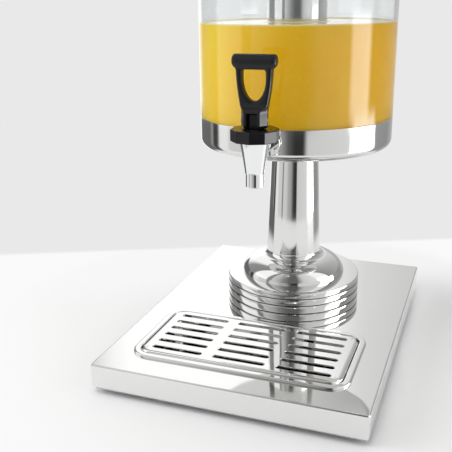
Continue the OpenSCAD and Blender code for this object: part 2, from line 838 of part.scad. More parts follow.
// A spun lid: skirt, flat edge, crown and a flat top with a hole for the ice tube
module lid() {
    steps = 12;
    edge_r = 2;
    skirt_z = canister_top - lid_skirt_h;
    out = [for (i = [0:steps]) let (r = crown_out_r + (crown_in_r - crown_out_r) * i / steps)
        [r, lid_edge_z + crown(r)]];
    under = [for (i = [steps:-1:0]) [out[i][0], out[i][1] - lid_sheet]];
    color(polished) on_axis() rotate_extrude() polygon(concat(
        [[lid_in_r, skirt_z], [lid_r, skirt_z]],
        arc([lid_r - edge_r, lid_edge_z - edge_r], edge_r, edge_r, 0, 90, 6),
        out, [[lid_hole_r, lid_top], [lid_hole_r, lid_top - lid_sheet]], under,
        [[lid_in_r, canister_top]]));
}

module lid_seal() {
    out_r = canister_in_r - lift_gap;
    color(silicone) on_axis() difference() {
        post(out_r, canister_top - lid_seal_h, canister_top);
        post(out_r - lid_seal_w, canister_top - lid_seal_h - cut, canister_top + cut);
    }
}

// A closed steel tube that hangs in the lid by its flange
module ice_tube() {
    bend_r = 4;
    color(polished) on_axis() rotate_extrude() polygon(concat(
        [[0, ice_tube_z]],
        arc([ice_tube_r - bend_r, ice_tube_z + bend_r], bend_r, bend_r, 270, 360, 6),
        [[ice_tube_r, lid_top], [ice_tube_r + ice_flange_w, lid_top],
         [ice_tube_r + ice_flange_w, ice_flange_z], [ice_tube_in_r, ice_flange_z]],
        arc([ice_tube_r - bend_r, ice_tube_z + bend_r], bend_r - ice_tube_wall, bend_r - ice_tube_wall,
            360, 270, 6),
        [[0, ice_tube_z + ice_tube_wall]]));
}

// A small spun cap with a plug that drops into the ice tube
module ice_tube_cap() {
    plug_r = ice_tube_in_r - lift_gap;
    rim_r = ice_tube_r + ice_flange_w;
    top = arc([cap_flat_r, ice_flange_z + cap_sheet], rim_r - cap_flat_r, cap_rise - cap_sheet, 0, 90, 8);
    color(polished) on_axis() difference() {
        union() {
            rotate_extrude() polygon(concat(
                [[0, ice_flange_z], [rim_r, ice_flange_z]], top, [[0, cap_top]]));
            difference() {
                post(plug_r, ice_flange_z - cap_plug_h, ice_flange_z + cap_sheet);
                post(plug_r - cap_sheet, ice_flange_z - cap_plug_h - cut, ice_flange_z);
            }
        }
        post(knob_screw_r + hole_gap, ice_flange_z - cut, cap_top + cut);
    }
}

// A turned knob: a narrow neck under a rounded head
module cap_knob() {
    head_h = knob_h * 0.6;
    head_z = cap_top + knob_h - head_h / 2;
    color(black) on_axis() difference() {
        rotate_extrude() polygon(concat(
            [[0, cap_top], [cap_flat_r, cap_top], [knob_neck_r, cap_top + (knob_h - head_h) / 2]],
            arc([0, head_z], knob_r, head_h / 2, -62, 90, 16)));
        post(knob_screw_r + thread_gap, cap_top - cut, cap_top + knob_screw_l);
    }
}

module knob_screw() {
    color(zinc) on_axis() {
        post(knob_screw_r, ice_flange_z, cap_top + knob_screw_l - screw_end);
        post(knob_screw_head_r, ice_flange_z - knob_screw_head_h, ice_flange_z);
    }
}

base_shell();
base_plate();
plate_screws();
rubber_feet();
foot_screws();
foot_nuts();
base_stiffener();
foot_collar();
column_dome();
column_tube();
tie_rod();
rod_washer();
rod_nut();
rod_seal();
rod_cap_nut();
bowl();
bowl_pad();
canister();
juice_fill();
tap_body();
tap_flange();
outer_seal();
inner_seal();
shank_nut();
tap_bonnet();
valve_spring();
valve_stem();
seat_cup();
tap_lever();
lever_pin();
drip_pan();
drip_grille();
lid();
lid_seal();
ice_tube();
ice_tube_cap();
cap_knob();
knob_screw();
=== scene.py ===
"""Looks for a juice dispenser: smooth pieces built over its CAD parts, their finishes, and a small
photo stage."""

import math

import bmesh
import bpy
import numpy as np
from bpy.props import FloatProperty, FloatVectorProperty, IntProperty, PointerProperty
from bpy.types import Operator, Panel, PropertyGroup
from mathutils import Matrix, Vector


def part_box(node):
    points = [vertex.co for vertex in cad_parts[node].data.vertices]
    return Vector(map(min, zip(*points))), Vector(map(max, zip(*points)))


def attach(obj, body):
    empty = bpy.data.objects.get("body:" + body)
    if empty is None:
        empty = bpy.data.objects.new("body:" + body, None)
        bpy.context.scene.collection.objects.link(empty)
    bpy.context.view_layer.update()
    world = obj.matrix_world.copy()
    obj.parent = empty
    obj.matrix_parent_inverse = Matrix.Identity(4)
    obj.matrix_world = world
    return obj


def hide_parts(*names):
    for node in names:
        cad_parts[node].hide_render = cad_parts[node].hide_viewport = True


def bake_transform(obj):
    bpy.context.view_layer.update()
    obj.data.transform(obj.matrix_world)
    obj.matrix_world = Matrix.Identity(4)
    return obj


bl_info = {
    "name": "Juice dispenser",
    "version": (1, 0, 0),
    "blender": (4, 5, 0),
    "location": "View3D > Sidebar > Dispenser",
    "description": "Builds the visible pieces of a juice dispenser over its CAD parts",
    "category": "Object",
}

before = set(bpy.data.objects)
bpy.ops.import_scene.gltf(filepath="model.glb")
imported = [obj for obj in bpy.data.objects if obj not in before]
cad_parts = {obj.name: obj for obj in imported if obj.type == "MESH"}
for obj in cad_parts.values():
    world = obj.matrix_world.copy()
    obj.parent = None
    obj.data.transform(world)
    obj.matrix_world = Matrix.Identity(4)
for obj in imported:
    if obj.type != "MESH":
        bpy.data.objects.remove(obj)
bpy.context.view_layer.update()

MM = 0.001
AROUND = 240  # steps in a full turn
SHARP = 40  # degrees past which an edge between two faces stays sharp


def span(node):
    """The lowest and highest corners of a CAD node, in metres."""
    low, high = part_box(node)
    return np.array(low), np.array(high)


def middle(node):
    """The point of the plane halfway across a CAD node."""
    low, high = span(node)
    return (low[:2] + high[:2]) / 2


def half_width(node):
    """Half the width of a CAD node, which is the radius of a turned one."""
    low, high = span(node)
    return (high[0] - low[0]) / 2


AXIS = middle("canister")
TAP = middle("tap_bonnet")
TRAY = middle("drip_pan")


def length(name, description, default):
    """A size in metres that the panel shows."""
    return FloatProperty(
        name=name, description=description, default=default, unit="LENGTH", min=0, precision=4
    )


def rotation(name, description, degrees):
    """An angle that the panel shows."""
    return FloatProperty(
        name=name, description=description, default=math.radians(degrees), unit="ROTATION"
    )


def colour(name, description, default):
    """A colour that the panel shows."""
    return FloatVectorProperty(
        name=name, description=description, default=default, subtype="COLOR", size=3, min=0, max=1
    )


def number(name, description, default):
    """A plain number that the panel shows."""
    return FloatProperty(name=name, description=description, default=default, min=0)


def whole(name, description, default, least=1):
    """A whole number that the panel shows."""
    return IntProperty(name=name, description=description, default=default, min=least)


class BaseSizes(PropertyGroup):
    """Sizes of the folded base, its feet, and the drip tray."""

    fold: length("Fold radius", "Radius of the base casing's folded edges", 1.5 * MM)
    corner: length("Corner radius", "Radius of the base casing's upright corners", 2.5 * MM)
    sheet: length("Casing sheet", "Thickness of the base casing's sheet", 1.2 * MM)
    flange: length("Flange", "Width of the casing's turned-in bottom edge", 14 * MM)
    foot: length("Foot radius", "Radius of a rubber foot", 12 * MM)
    rim: length("Rim width", "Width of the drip pan's turned rim", 5.5 * MM)
    rim_corner: length("Rim corner", "Corner radius of the drip pan's rim", 19 * MM)
    rim_round: length("Rim rounding", "Radius of the rim's outer edge", 1.9 * MM)
    pan_sheet: length("Pan sheet", "Thickness of the drip pan's sheet", 1 * MM)
    ledge: length("Ledge", "Width of the ledge that carries the grille", 4 * MM)
    ledge_drop: length("Ledge drop", "Depth of the ledge below the rim", 5 * MM)
    play: length("Cut-out play", "Play of the pan in the casing's cut-out", 2.4 * MM)


class GrilleSizes(PropertyGroup):
    """Sizes of the slotted grille."""

    sheet: length("Sheet", "Thickness of the grille's sheet", 1.2 * MM)
    edge: length("Edge radius", "Radius of the grille's rolled edge", 4.4 * MM)
    lip: length("Slot lip", "Radius of the lip rolled round a slot", 0.5 * MM)
    slot_length: length("Slot length", "Length of a slot with its round ends", 51 * MM)
    slot_width: length("Slot width", "Width of a slot", 5.4 * MM)
    row_pitch: length("Row pitch", "Distance between rows of slots", 14.56 * MM)
    column_pitch: length("Column pitch", "Distance between columns of slots", 62 * MM)
    rows: whole("Rows", "Rows of slots", 6)
    columns: whole("Columns", "Columns of slots", 3)


class PedestalSizes(PropertyGroup):
    """Sizes of the ribbed collar, the dome and the column."""

    ribs: whole("Ribs", "Rounded bands round the collar", 3)
    rib_share: number("Rib share", "Height of a band over that of the band below it", 0.87)
    bulge: length("Rib bulge", "How far a band stands out from its grooves", 1.5 * MM)
    wall: length("Wall", "Thickness of the turned walls", 1.5 * MM)
    fillet: length("Fillet", "Radius between dome and column", 7 * MM)
    column_top: length("Column top", "Radius of the column under the bowl", 25.1 * MM)


class VesselSizes(PropertyGroup):
    """Sizes of the bowl, the canister, the juice, the ice tube and the lid."""

    bend: length("Bowl bend", "Radius of the bowl's bend", 9 * MM)
    sheet: length("Sheet", "Thickness of the bowl and the lid", 1.2 * MM)
    floor: length("Canister floor", "Thickness of the clear floor", 4 * MM)
    tube: length("Ice tube radius", "Outer radius of the ice tube", 30.75 * MM)
    tube_wall: length("Ice tube wall", "Thickness of the ice tube's sheet", 1 * MM)
    lid_edge: length("Lid edge", "Radius of the lid's outer edge", 2.2 * MM)
    lid_flat: length("Lid flat", "Radius where the lid's flat edge meets its crown", 92.5 * MM)
    meniscus: length("Meniscus", "How far the juice climbs at the walls", 1.2 * MM)


class TapSizes(PropertyGroup):
    """Sizes of the tap and its lever."""

    spout: length("Spout radius", "Outer radius of the spout", 8.4 * MM)
    spout_long: length("Spout length", "Length of the spout below the cone", 12.8 * MM)
    bore: length("Bore radius", "Radius of the spout's bore", 5.5 * MM)
    cone: length("Cone radius", "Radius of the cone at its top", 13.9 * MM)
    neck: length("Neck radius", "Radius of the neck towards the canister", 8.5 * MM)
    shank: length("Shank radius", "Radius of the threaded shank", 6.5 * MM)
    bonnet: length("Bonnet radius", "Radius over the bonnet's corners", 22.3 * MM)
    bonnet_sides: whole("Bonnet sides", "Flats round the bonnet", 10, least=3)
    bonnet_turn: rotation("Bonnet turn", "Where the bonnet's thread stops", 23)
    lever_neck: length("Lever neck", "Width of the lever's forked neck", 25 * MM)
    neck_bevel: length("Neck bevel", "How much the flats on the neck's upright corners take off", 4.4 * MM)
    neck_foot: length("Neck foot", "Rounding of the foot on which the lever rocks", 4 * MM)
    neck_high: length("Neck height", "Height of the lever's neck", 23 * MM)
    fork: length("Fork width", "Width of the slot in the lever's neck", 10.2 * MM)
    fork_high: length("Fork height", "Height of the slot in the lever's neck", 14 * MM)
    fork_back: length("Fork back", "How far the slot reaches behind the pin", 6.2 * MM)
    arms: length("Arms width", "Width across the lever's arms", 33.8 * MM)
    arms_deep: length("Arms depth", "Depth of the lever's arms", 9.5 * MM)
    opening: length("Opening width", "Width of the finger opening", 22.2 * MM)
    opening_high: length("Opening height", "Height of the finger opening", 27.4 * MM)
    bar: length("Bar radius", "Radius of the lever's cross bar", 6 * MM)
    edges: length("Lever edges", "Rounding of the lever's edges", 2.6 * MM)


class Finishes(PropertyGroup):
    """Colours of the materials."""

    steel: colour("Polished steel", "Mirror-polished stainless steel", (0.80, 0.80, 0.79))
    chrome: colour("Chrome", "Bright plating of the tap", (0.86, 0.865, 0.87))
    plain: colour("Plain steel", "Zinc-plated hardware", (0.52, 0.53, 0.54))
    black: colour("Black plastic", "Glossy moulded plastic", (0.009, 0.009, 0.010))
    rubber: colour("Black rubber", "Feet and seals", (0.022, 0.022, 0.023))
    silicone: colour("Silicone", "Soft pale seals", (0.72, 0.72, 0.68))
    clear: colour("Clear plastic", "Tint of the canister", (0.97, 0.985, 0.985))
    juice: colour("Juice", "Body of the juice", (0.87, 0.53, 0.011))
    # The pulp colour also paints the juice's left side paler, as painted light.
    pulp_and_painted_light: colour("Pulp", "Paler flecks in the juice and its top edge", (0.90, 0.71, 0.065))


class StageSettings(PropertyGroup):
    """The camera, the floor and the light."""

    eye: FloatVectorProperty(
        name="Camera",
        description="Place of the camera",
        default=(0.19882, -0.68062, 0.35688),
        subtype="TRANSLATION",
    )
    heading: rotation("Heading", "How far the camera looks to the left", 20.70)
    pitch: rotation("Pitch", "How far the camera looks down", 18.14)
    roll: rotation("Roll", "Turn of the camera about its view", -0.80)
    lens: FloatProperty(name="Lens", description="Focal length in millimetres", default=56.63, min=1)
    floor: colour("Floor", "Colour of the table", (0.90, 0.90, 0.90))
    backdrop: colour("Backdrop", "Colour behind the object", (0.815, 0.815, 0.815))
    ambient: number("Ambient", "Light from all round", 0.48)
    top_light: number("Top light", "Power of the lamp overhead, in watts", 5.8)
    right_light: number("Right light", "Power of the lamp at the right, in watts", 1.8)
    left_light: number("Left light", "Power of the lamp at the left, in watts", 7.5)


def unit(vector):
    """A vector scaled to length one."""
    return vector / np.linalg.norm(vector)


def rounded(corners, closed=False, steps=8, beside=0.3 * MM):
    """A chain of straight sides with an arc at each corner.

    A corner is (across, up, radius). Its arc touches both sides at radius / tan(half the corner's
    angle) from the corner, and turns round a point on the bisector at radius / sin(half the angle).
    One more point lies on each side beside the arc, so that the flat stays flat when it is shaded
    smooth.
    """
    corners = np.array(corners, float)
    count = len(corners)
    chain = []
    for k, (across, up, radius) in enumerate(corners):
        place = np.array([across, up])
        at_end = not closed and k in (0, count - 1)
        if radius <= 0 or at_end:
            chain.append(place[None])
            continue
        before = unit(corners[k - 1, :2] - place)
        after = unit(corners[(k + 1) % count, :2] - place)
        half = 0.5 * math.acos(np.clip(before @ after, -1, 1))
        reach = radius / math.tan(half)
        centre = place + unit(before + after) * radius / math.sin(half)
        first = place + before * reach - centre
        last = place + after * reach - centre
        start = math.atan2(first[1], first[0])
        sweep = math.atan2(first[0] * last[1] - first[1] * last[0], first @ last)
        angle = start + sweep * np.linspace(0, 1, steps + 1)
        arc = centre + radius * np.column_stack([np.cos(angle), np.sin(angle)])
        chain.append(np.vstack([arc[:1] + before * beside, arc, arc[-1:] + after * beside]))
    return np.vstack(chain)


def turned(profile, centre=(0, 0), around=AROUND):
    """A profile of (radius, height) points carried round an upright axis:
    x, y = centre + radius * (cos, sin)."""
    angle = np.linspace(0, 2 * np.pi, around, endpoint=False)
    radius = profile[:, :1]
    height = np.broadcast_to(profile[:, 1:], (len(profile), around))
    return np.stack([centre[0] + radius * np.cos(angle), centre[1] + radius * np.sin(angle), height], axis=-1)


def turned_across(profile, centre, around=96):
    """A profile of (radius, y) points carried round a level axis along Y through centre, an (x, z) pair."""
    grid = turned(profile, centre, around)
    return grid[..., [0, 2, 1]]


def rounded_rectangle(half_w, half_d, radius, side=24, corner=10):
    """Points round a rectangle: a quarter circle at each corner, and equal steps along each straight side."""
    radius = max(radius, 0.2 * MM)
    quarter = np.radians(np.linspace(0, 90, corner + 1))
    arcs = []
    for turn, (right, back) in enumerate(((1, 1), (-1, 1), (-1, -1), (1, -1))):
        centre = np.array([right * (half_w - radius), back * (half_d - radius)])
        angle = quarter + turn * np.pi / 2
        arcs.append(centre + radius * np.column_stack([np.cos(angle), np.sin(angle)]))
    share = np.linspace(0, 1, side + 1)[1:-1, None]
    loop = []
    for k in range(4):
        following = arcs[(k + 1) % 4]
        loop += [arcs[k], arcs[k][-1] * (1 - share) + following[0] * share]
    return np.vstack(loop)


def heading(angle):
    """Points on the unit circle at the given angles."""
    return np.stack([np.cos(angle), np.sin(angle)], axis=-1)


def flat_sided(sides, reach, radius, turn, steps=6, beside=0.2 * MM):
    """Points round a regular polygon whose flats lie at a reach from its middle: an arc at each corner,
    which turns round a point at (reach - radius) / cos(half a side's angle), and one more point
    beside it on each flat."""
    half = math.pi / sides
    corner = turn + 2 * half * np.arange(sides)[:, None]
    lean = corner + np.linspace(-half, half, steps + 1)
    arcs = heading(corner) * (reach - radius) / math.cos(half) + radius * heading(lean)
    before = arcs[:, :1] - beside * heading(lean[:, :1] + math.pi / 2)
    after = arcs[:, -1:] + beside * heading(lean[:, -1:] + math.pi / 2)
    return np.concatenate([before, arcs, after], axis=1).reshape(-1, 2)


def at_height(loop, height, centre=(0, 0)):
    """A flat loop of (x, y) points lifted to a height."""
    return np.column_stack([loop + np.array(centre), np.full(len(loop), height)])


def carried(profile, half_w, half_d, radius, centre):
    """A profile of (inset, height) points carried round a rounded rectangle: each point is the
    rectangle's outline drawn in by the inset, with the same number of points, at that height."""
    rows = [
        at_height(rounded_rectangle(half_w - inset, half_d - inset, radius - inset), height, centre)
        for inset, height in profile
    ]
    return np.stack(rows)


def quads(rows, columns, wrap_rows, wrap_columns):
    """The faces of a grid of points, closed on itself along its rows or columns where that is asked."""
    row_count = rows if wrap_rows else rows - 1
    column_count = columns if wrap_columns else columns - 1
    row, column = np.meshgrid(np.arange(row_count), np.arange(column_count), indexing="ij")
    next_row = (row + 1) % rows
    next_column = (column + 1) % columns
    corners = [row * columns + column, row * columns + next_column]
    corners += [next_row * columns + next_column, next_row * columns + column]
    return np.stack(corners, axis=-1).reshape(-1, 4)


def grid_part(grid, wrap_rows=False, wrap_columns=True):
    """A grid of points as one part of a mesh: its points and its faces."""
    rows, columns = grid.shape[:2]
    return grid.reshape(-1, 3), quads(rows, columns, wrap_rows, wrap_columns)


def smooth_max(first, second, blend):
    """The larger of two fields, rounded where they cross: a parabola over the width of the blend."""
    share = np.clip(0.5 + 0.5 * (first - second) / blend, 0, 1)
    return second * (1 - share) + first * share + blend * share * (1 - share)


def smooth_min(first, second, blend):
    """The smaller of two fields, filled in where they cross."""
    return -smooth_max(-first, -second, blend)


def rise_of(field, points, small):
    """How much a field rises along each axis, from a small step before each point to one past it."""
    nudges = small * np.eye(3)
    return np.column_stack([field(*(points + nudge).T) - field(*(points - nudge).T) for nudge in nudges])


def skin_of(field, low, high, step):
    """The skin where a field is nought, as one part of a mesh.

    The box is cut into cubes. A cube that the skin passes through gets one point, the mean of the
    places where the skin cuts its edges, and each cut edge gets a face between the four cubes round
    it. The points then move along the field's slope, by value / slope, until they lie on the skin.
    """
    axes = [np.arange(a, b + step, step) for a, b in zip(low, high)]
    value = field(*np.meshgrid(*axes, indexing="ij"))
    cells = np.array(value.shape) - 1
    total = np.zeros(tuple(cells) + (4,))
    for axis in range(3):
        left, right = [a for a in range(3) if a != axis]
        for first in (0, 1):
            for second in (0, 1):
                near = [None, None, None]
                near[axis] = slice(0, -1)
                near[left] = slice(first, first + cells[left])
                near[right] = slice(second, second + cells[right])
                far = list(near)
                far[axis] = slice(1, None)
                start, end = value[tuple(near)], value[tuple(far)]
                cut = (start < 0) != (end < 0)
                total[..., axis] += np.where(cut, start / np.where(cut, start - end, 1), 0)
                total[..., left] += cut * first
                total[..., right] += cut * second
                total[..., 3] += cut
    used = total[..., 3] > 0
    order = np.full(used.shape, -1)
    order[used] = np.arange(used.sum())
    points = np.array(low) + step * (np.argwhere(used) + total[used][:, :3] / total[used][:, 3:])
    faces = []
    for axis in range(3):
        left, right = [a for a in range(3) if a != axis]
        near = [slice(1, -1)] * 3
        near[axis] = slice(0, -1)
        far = list(near)
        far[axis] = slice(1, None)
        edge = np.argwhere((value[tuple(near)] < 0) != (value[tuple(far)] < 0))
        ring = []
        for first, second in ((0, 0), (1, 0), (1, 1), (0, 1)):
            cell = edge.copy()
            cell[:, left] += first
            cell[:, right] += second
            ring.append(order[tuple(cell.T)])
        faces.append(np.stack(ring, axis=-1))
    small, moves = 0.02 * MM, 4
    for _ in range(moves):
        slope = rise_of(field, points, small) / (2 * small)
        share = field(*points.T) / (slope**2).sum(axis=-1)
        points = points - share[:, None] * slope
    return points, np.vstack(faces)


finishes = {}  # the materials, by the short names that the pieces use


def piece(name, parts, finish, body, node, sharp=SHARP, field=None):
    """A mesh made of parts, each (points, faces), joined where they meet and turned outward. It rides on
    a CAD body, if one is given, and stands for a CAD node. Edges sharper than the given angle stay
    sharp. The skin of a field is shaded by the field's slope."""
    points, faces, before = [], [], 0
    for part_points, part_faces in parts:
        points.append(part_points)
        faces.append(part_faces + before)
        before += len(part_points)
    mesh = bpy.data.meshes.new(name)
    mesh.from_pydata(np.vstack(points).tolist(), [], np.vstack(faces).tolist())
    work = bmesh.new()
    work.from_mesh(mesh)
    bmesh.ops.remove_doubles(work, verts=work.verts, dist=0.002 * MM)
    bmesh.ops.dissolve_degenerate(work, edges=work.edges, dist=0.001 * MM)
    bmesh.ops.recalc_face_normals(work, faces=work.faces)
    work.to_mesh(mesh)
    work.free()
    mesh.shade_smooth()
    mesh.set_sharp_from_angle(angle=math.radians(sharp))
    if field:
        spots = np.empty((len(mesh.vertices), 3))
        mesh.vertices.foreach_get("co", spots.ravel())
        slope = rise_of(field, spots, 0.05 * MM)
        mesh.normals_split_custom_set_from_vertices(slope / np.linalg.norm(slope, axis=1)[:, None])
    made = bpy.data.objects.new(name, mesh)
    bpy.context.scene.collection.objects.link(made)
    made.data.materials.append(finishes[finish])
    if body:
        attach(made, body)
    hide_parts(node)
    return made


def turned_piece(name, profile, finish, body, node, closed=True, around=AROUND, sharp=SHARP):
    """A piece whose profile is carried round the dispenser's axis, and joined end to end if it is closed."""
    part = grid_part(turned(profile, AXIS, around), wrap_rows=closed)
    piece(name, [part], finish, body, node, sharp)


def skinned_piece(name, field, finish, body, node):
    """A piece that is the skin of a field, looked for in a CAD node's box and just past it."""
    margin, step = 2 * MM, 0.5 * MM
    low, high = span(node)
    part = skin_of(field, low - margin, high + margin, step)
    piece(name, [part], finish, body, node, field=field)


class Socket:
    """An output of a shader node. Sums written with it add Math nodes."""

    def __init__(self, nodes, link):
        self.nodes = nodes
        self.link = link

    def sum_of(self, operation, first, second):
        return self.nodes.node("ShaderNodeMath", {"operation": operation}, {0: first, 1: second})

    def __add__(self, other):
        return self.sum_of("ADD", self, other)

    def __radd__(self, other):
        return self.sum_of("ADD", other, self)

    def __sub__(self, other):
        return self.sum_of("SUBTRACT", self, other)

    def __rsub__(self, other):
        return self.sum_of("SUBTRACT", other, self)

    def __mul__(self, other):
        return self.sum_of("MULTIPLY", self, other)

    def __rmul__(self, other):
        return self.sum_of("MULTIPLY", other, self)

    def __truediv__(self, other):
        return self.sum_of("DIVIDE", self, other)

    def __rtruediv__(self, other):
        return self.sum_of("DIVIDE", other, self)


class Nodes:
    """The node tree of a material or a world, filled node by node."""

    def __init__(self, owner):
        owner.use_nodes = True
        self.owner = owner
        self.tree = owner.node_tree
        self.tree.nodes.clear()

    def node(self, kind, settings=None, inputs=None, output=0):
        """Adds a node: its type, its settings, and the values or links of its sockets. Returns one output."""
        made = self.tree.nodes.new(kind)
        for name, value in (settings or {}).items():
            if name == "stops":
                self.set_stops(made.color_ramp, value)
            else:
                setattr(made, name, value)
        for key, value in (inputs or {}).items():
            if isinstance(value, Socket):
                self.tree.links.new(value.link, made.inputs[key])
            else:
                made.inputs[key].default_value = value
        return Socket(self, made.outputs[output]) if made.outputs else made

    @staticmethod
    def set_stops(ramp, stops):
        """Puts grey stops of (place, value) on a colour ramp."""
        while len(ramp.elements) < len(stops):
            ramp.elements.new(1)
        for element, (place, value) in zip(ramp.elements, stops):
            element.position = place
            element.color = (value, value, value, 1)

    def place(self):
        """Object coordinates, which are metres in the object's frame."""
        return self.node("ShaderNodeTexCoord", output="Object")

    def part(self, vector, axis):
        """One coordinate of a vector."""
        return self.node("ShaderNodeSeparateXYZ", inputs={0: vector}, output=axis)

    def stretched(self, vector, scale, shift=(0, 0, 0)):
        """A vector shifted and then scaled along each axis."""
        moved = self.node("ShaderNodeVectorMath", {"operation": "ADD"}, {0: vector, 1: shift})
        return self.node("ShaderNodeVectorMath", {"operation": "MULTIPLY"}, {0: moved, 1: scale})

    def reach(self, vector):
        """How long a vector is."""
        return self.node("ShaderNodeVectorMath", {"operation": "LENGTH"}, {0: vector}, output="Value")

    def from_axis(self, place):
        """How far a place lies from the dispenser's axis."""
        return self.reach(self.stretched(place, (1.0, 1.0, 0.0), shift=(-AXIS[0], -AXIS[1], 0)))

    def larger(self, first, second):
        """The larger of two values."""
        return self.node("ShaderNodeMath", {"operation": "MAXIMUM"}, {0: first, 1: second})

    def noise(self, vector, scale, detail=3.0, roughness=0.5):
        """Cloudy noise from nought to one."""
        sockets = {"Vector": vector, "Scale": scale, "Detail": detail, "Roughness": roughness}
        return self.node("ShaderNodeTexNoise", None, sockets)

    def step(self, value, low, high):
        """A smooth rise from nought to one between two values."""
        settings = {"interpolation_type": "SMOOTHSTEP"}
        return self.node("ShaderNodeMapRange", settings, {"Value": value, "From Min": low, "From Max": high})

    def mix(self, share, first, second):
        """A colour between two colours."""
        return self.node(
            "ShaderNodeMix", {"data_type": "RGBA"}, {0: share, 6: opaque(first), 7: opaque(second)}, output=2
        )

    def bump(self, height, depth, strength=1.0):
        """A surface raised by height times depth, in metres."""
        return self.node("ShaderNodeBump", None, {"Height": height, "Distance": depth, "Strength": strength})

    def principled(self, **inputs):
        """A Principled shader. Words in a name are joined by underscores."""
        sockets = {name.replace("_", " "): value for name, value in inputs.items()}
        return self.node("ShaderNodeBsdfPrincipled", None, sockets)

    def ray(self, kind):
        """What kind of ray meets the surface, or how often it has bounced."""
        return self.node("ShaderNodeLightPath", output=kind)

    def mirrored(self):
        """One for a ray that a mirror has turned, and nought for any other."""
        return self.node("ShaderNodeMath", {"operation": "MINIMUM"}, {0: self.ray("Glossy Depth"), 1: 1.0})

    def glow(self, shade, strength=1.0):
        """A shader that only gives light."""
        return self.node("ShaderNodeEmission", None, {"Color": opaque(shade), "Strength": strength})

    def blend(self, share, first, second):
        """One shader that passes into another."""
        return self.node("ShaderNodeMixShader", None, {0: share, 1: first, 2: second})

    def shade(self, **inputs):
        """A Principled shader on the material's output."""
        self.show(self.principled(**inputs))
        return self.owner

    def show(self, shader, kind="ShaderNodeOutputMaterial"):
        """Links a shader to the tree's output."""
        self.node(kind, None, {"Surface": shader})


def opaque(value):
    """A colour with its alpha, or a link as it is."""
    return value if isinstance(value, Socket) else (*value, 1.0)


def toned(tint, share):
    """A colour made darker or brighter."""
    return tuple(share * c for c in tint)


def new_nodes(name):
    """The nodes of a new material."""
    return Nodes(bpy.data.materials.new(name))


def steel_finish(name, tint, rough, spun=False, groove_shade=None):
    """Mirror steel: wiped smudges in its roughness, a slow waviness in its sheet, and turning lines where
    it is spun, drawn from height and radius alone. Grooves, given as (bottom radius, edge radius, top)
    on a spun piece, get painted shade below their top: their colour is darkened to stand in for the
    shadow in them."""
    nodes = new_nodes(name)
    place = nodes.place()
    smudge = nodes.noise(place, scale=16.0, detail=4.0, roughness=0.6)
    wipe = nodes.noise(nodes.stretched(place, (60.0, 9.0, 30.0)), scale=1.0)
    height = nodes.noise(place, scale=22.0, detail=1.0)
    smudge_dulls, wipe_dulls, line_dulls, line_high = 0.05, 0.02, 0.02, 0.02
    roughness = rough + smudge_dulls * nodes.step(smudge, 0.45, 0.85) + wipe_dulls * wipe
    if spun:
        radius = nodes.from_axis(place)
        across = nodes.node("ShaderNodeCombineXYZ", None, {0: radius, 1: nodes.part(place, "Z")})
        lines = nodes.noise(across, scale=1400.0, detail=2.0)
        height = height + line_high * lines
        roughness = roughness + line_dulls * lines
    shade = nodes.mix(0.5 * smudge, tint, toned(tint, 0.93))
    # Painted shade: the grooves between the collar's bands are darkened to 0.12 of the tint, standing in for
    # the shadow in them.
    if groove_shade:
        bottom, edge, top = groove_shade
        below = 1 - nodes.step(nodes.part(place, "Z"), top - 1.5 * MM, top - 0.8 * MM)
        deep = below * (1 - nodes.step(radius, bottom, edge))
        shade = nodes.mix(deep, shade, toned(tint, 0.12))
    bump = nodes.bump(height, depth=0.25 * MM, strength=0.6)
    return nodes.shade(Base_Color=shade, Metallic=1.0, Roughness=roughness, Normal=bump)


def chrome_finish(tint):
    """Bright plating over a casting, with a soft unevenness."""
    nodes = new_nodes("chrome_plate")
    place = nodes.place()
    cast = nodes.noise(place, scale=90.0, detail=2.0)
    smudge = nodes.noise(place, scale=45.0, detail=4.0)
    return nodes.shade(
        Base_Color=opaque(tint),
        Metallic=1.0,
        Roughness=0.02 + 0.05 * nodes.step(smudge, 0.5, 0.9),
        Normal=nodes.bump(cast, depth=0.04 * MM, strength=0.5),
    )


def plain_finish(tint):
    """Zinc-plated steel: dull, with a fine cloudy grain."""
    nodes = new_nodes("plain_steel")
    place = nodes.place()
    cloud = nodes.noise(place, scale=120.0, detail=4.0)
    grain = nodes.noise(place, scale=900.0, detail=2.0)
    return nodes.shade(
        Base_Color=nodes.mix(cloud, toned(tint, 0.8), tint),
        Metallic=1.0,
        Roughness=0.26 + 0.2 * cloud,
        Normal=nodes.bump(grain, depth=0.05 * MM, strength=0.4),
    )


def black_finish(tint):
    """Glossy moulded plastic: a faint orange-peel skin and dull wiped patches."""
    nodes = new_nodes("black_plastic")
    place = nodes.place()
    peel = nodes.noise(place, scale=260.0, detail=2.0)
    worn = nodes.noise(place, scale=55.0, detail=4.0)
    return nodes.shade(
        Base_Color=nodes.mix(worn, tint, toned(tint, 1.6)),
        Roughness=0.08 + 0.1 * nodes.step(worn, 0.4, 0.8),
        Normal=nodes.bump(peel, depth=0.05 * MM, strength=0.5),
        Specular_IOR_Level=0.3,
    )


def rubber_finish(tint):
    """Dull rubber with a fine moulded grain and a little dust."""
    nodes = new_nodes("black_rubber")
    place = nodes.place()
    grain = nodes.noise(place, scale=700.0)
    dust = nodes.noise(place, scale=60.0, detail=4.0)
    return nodes.shade(
        Base_Color=nodes.mix(nodes.step(dust, 0.45, 0.9), tint, toned(tint, 2.6)),
        Roughness=0.62 + 0.2 * dust,
        Normal=nodes.bump(grain, depth=0.12 * MM, strength=0.6),
    )


def silicone_finish(tint):
    """Pale soft silicone with a satin skin."""
    nodes = new_nodes("silicone")
    cloud = nodes.noise(nodes.place(), scale=80.0)
    return nodes.shade(
        Base_Color=nodes.mix(cloud, tint, toned(tint, 0.92)),
        Roughness=0.4 + 0.15 * cloud,
        Subsurface_Weight=0.2,
        Subsurface_Radius=(0.6, 0.6, 0.5),
        Subsurface_Scale=2 * MM,
    )


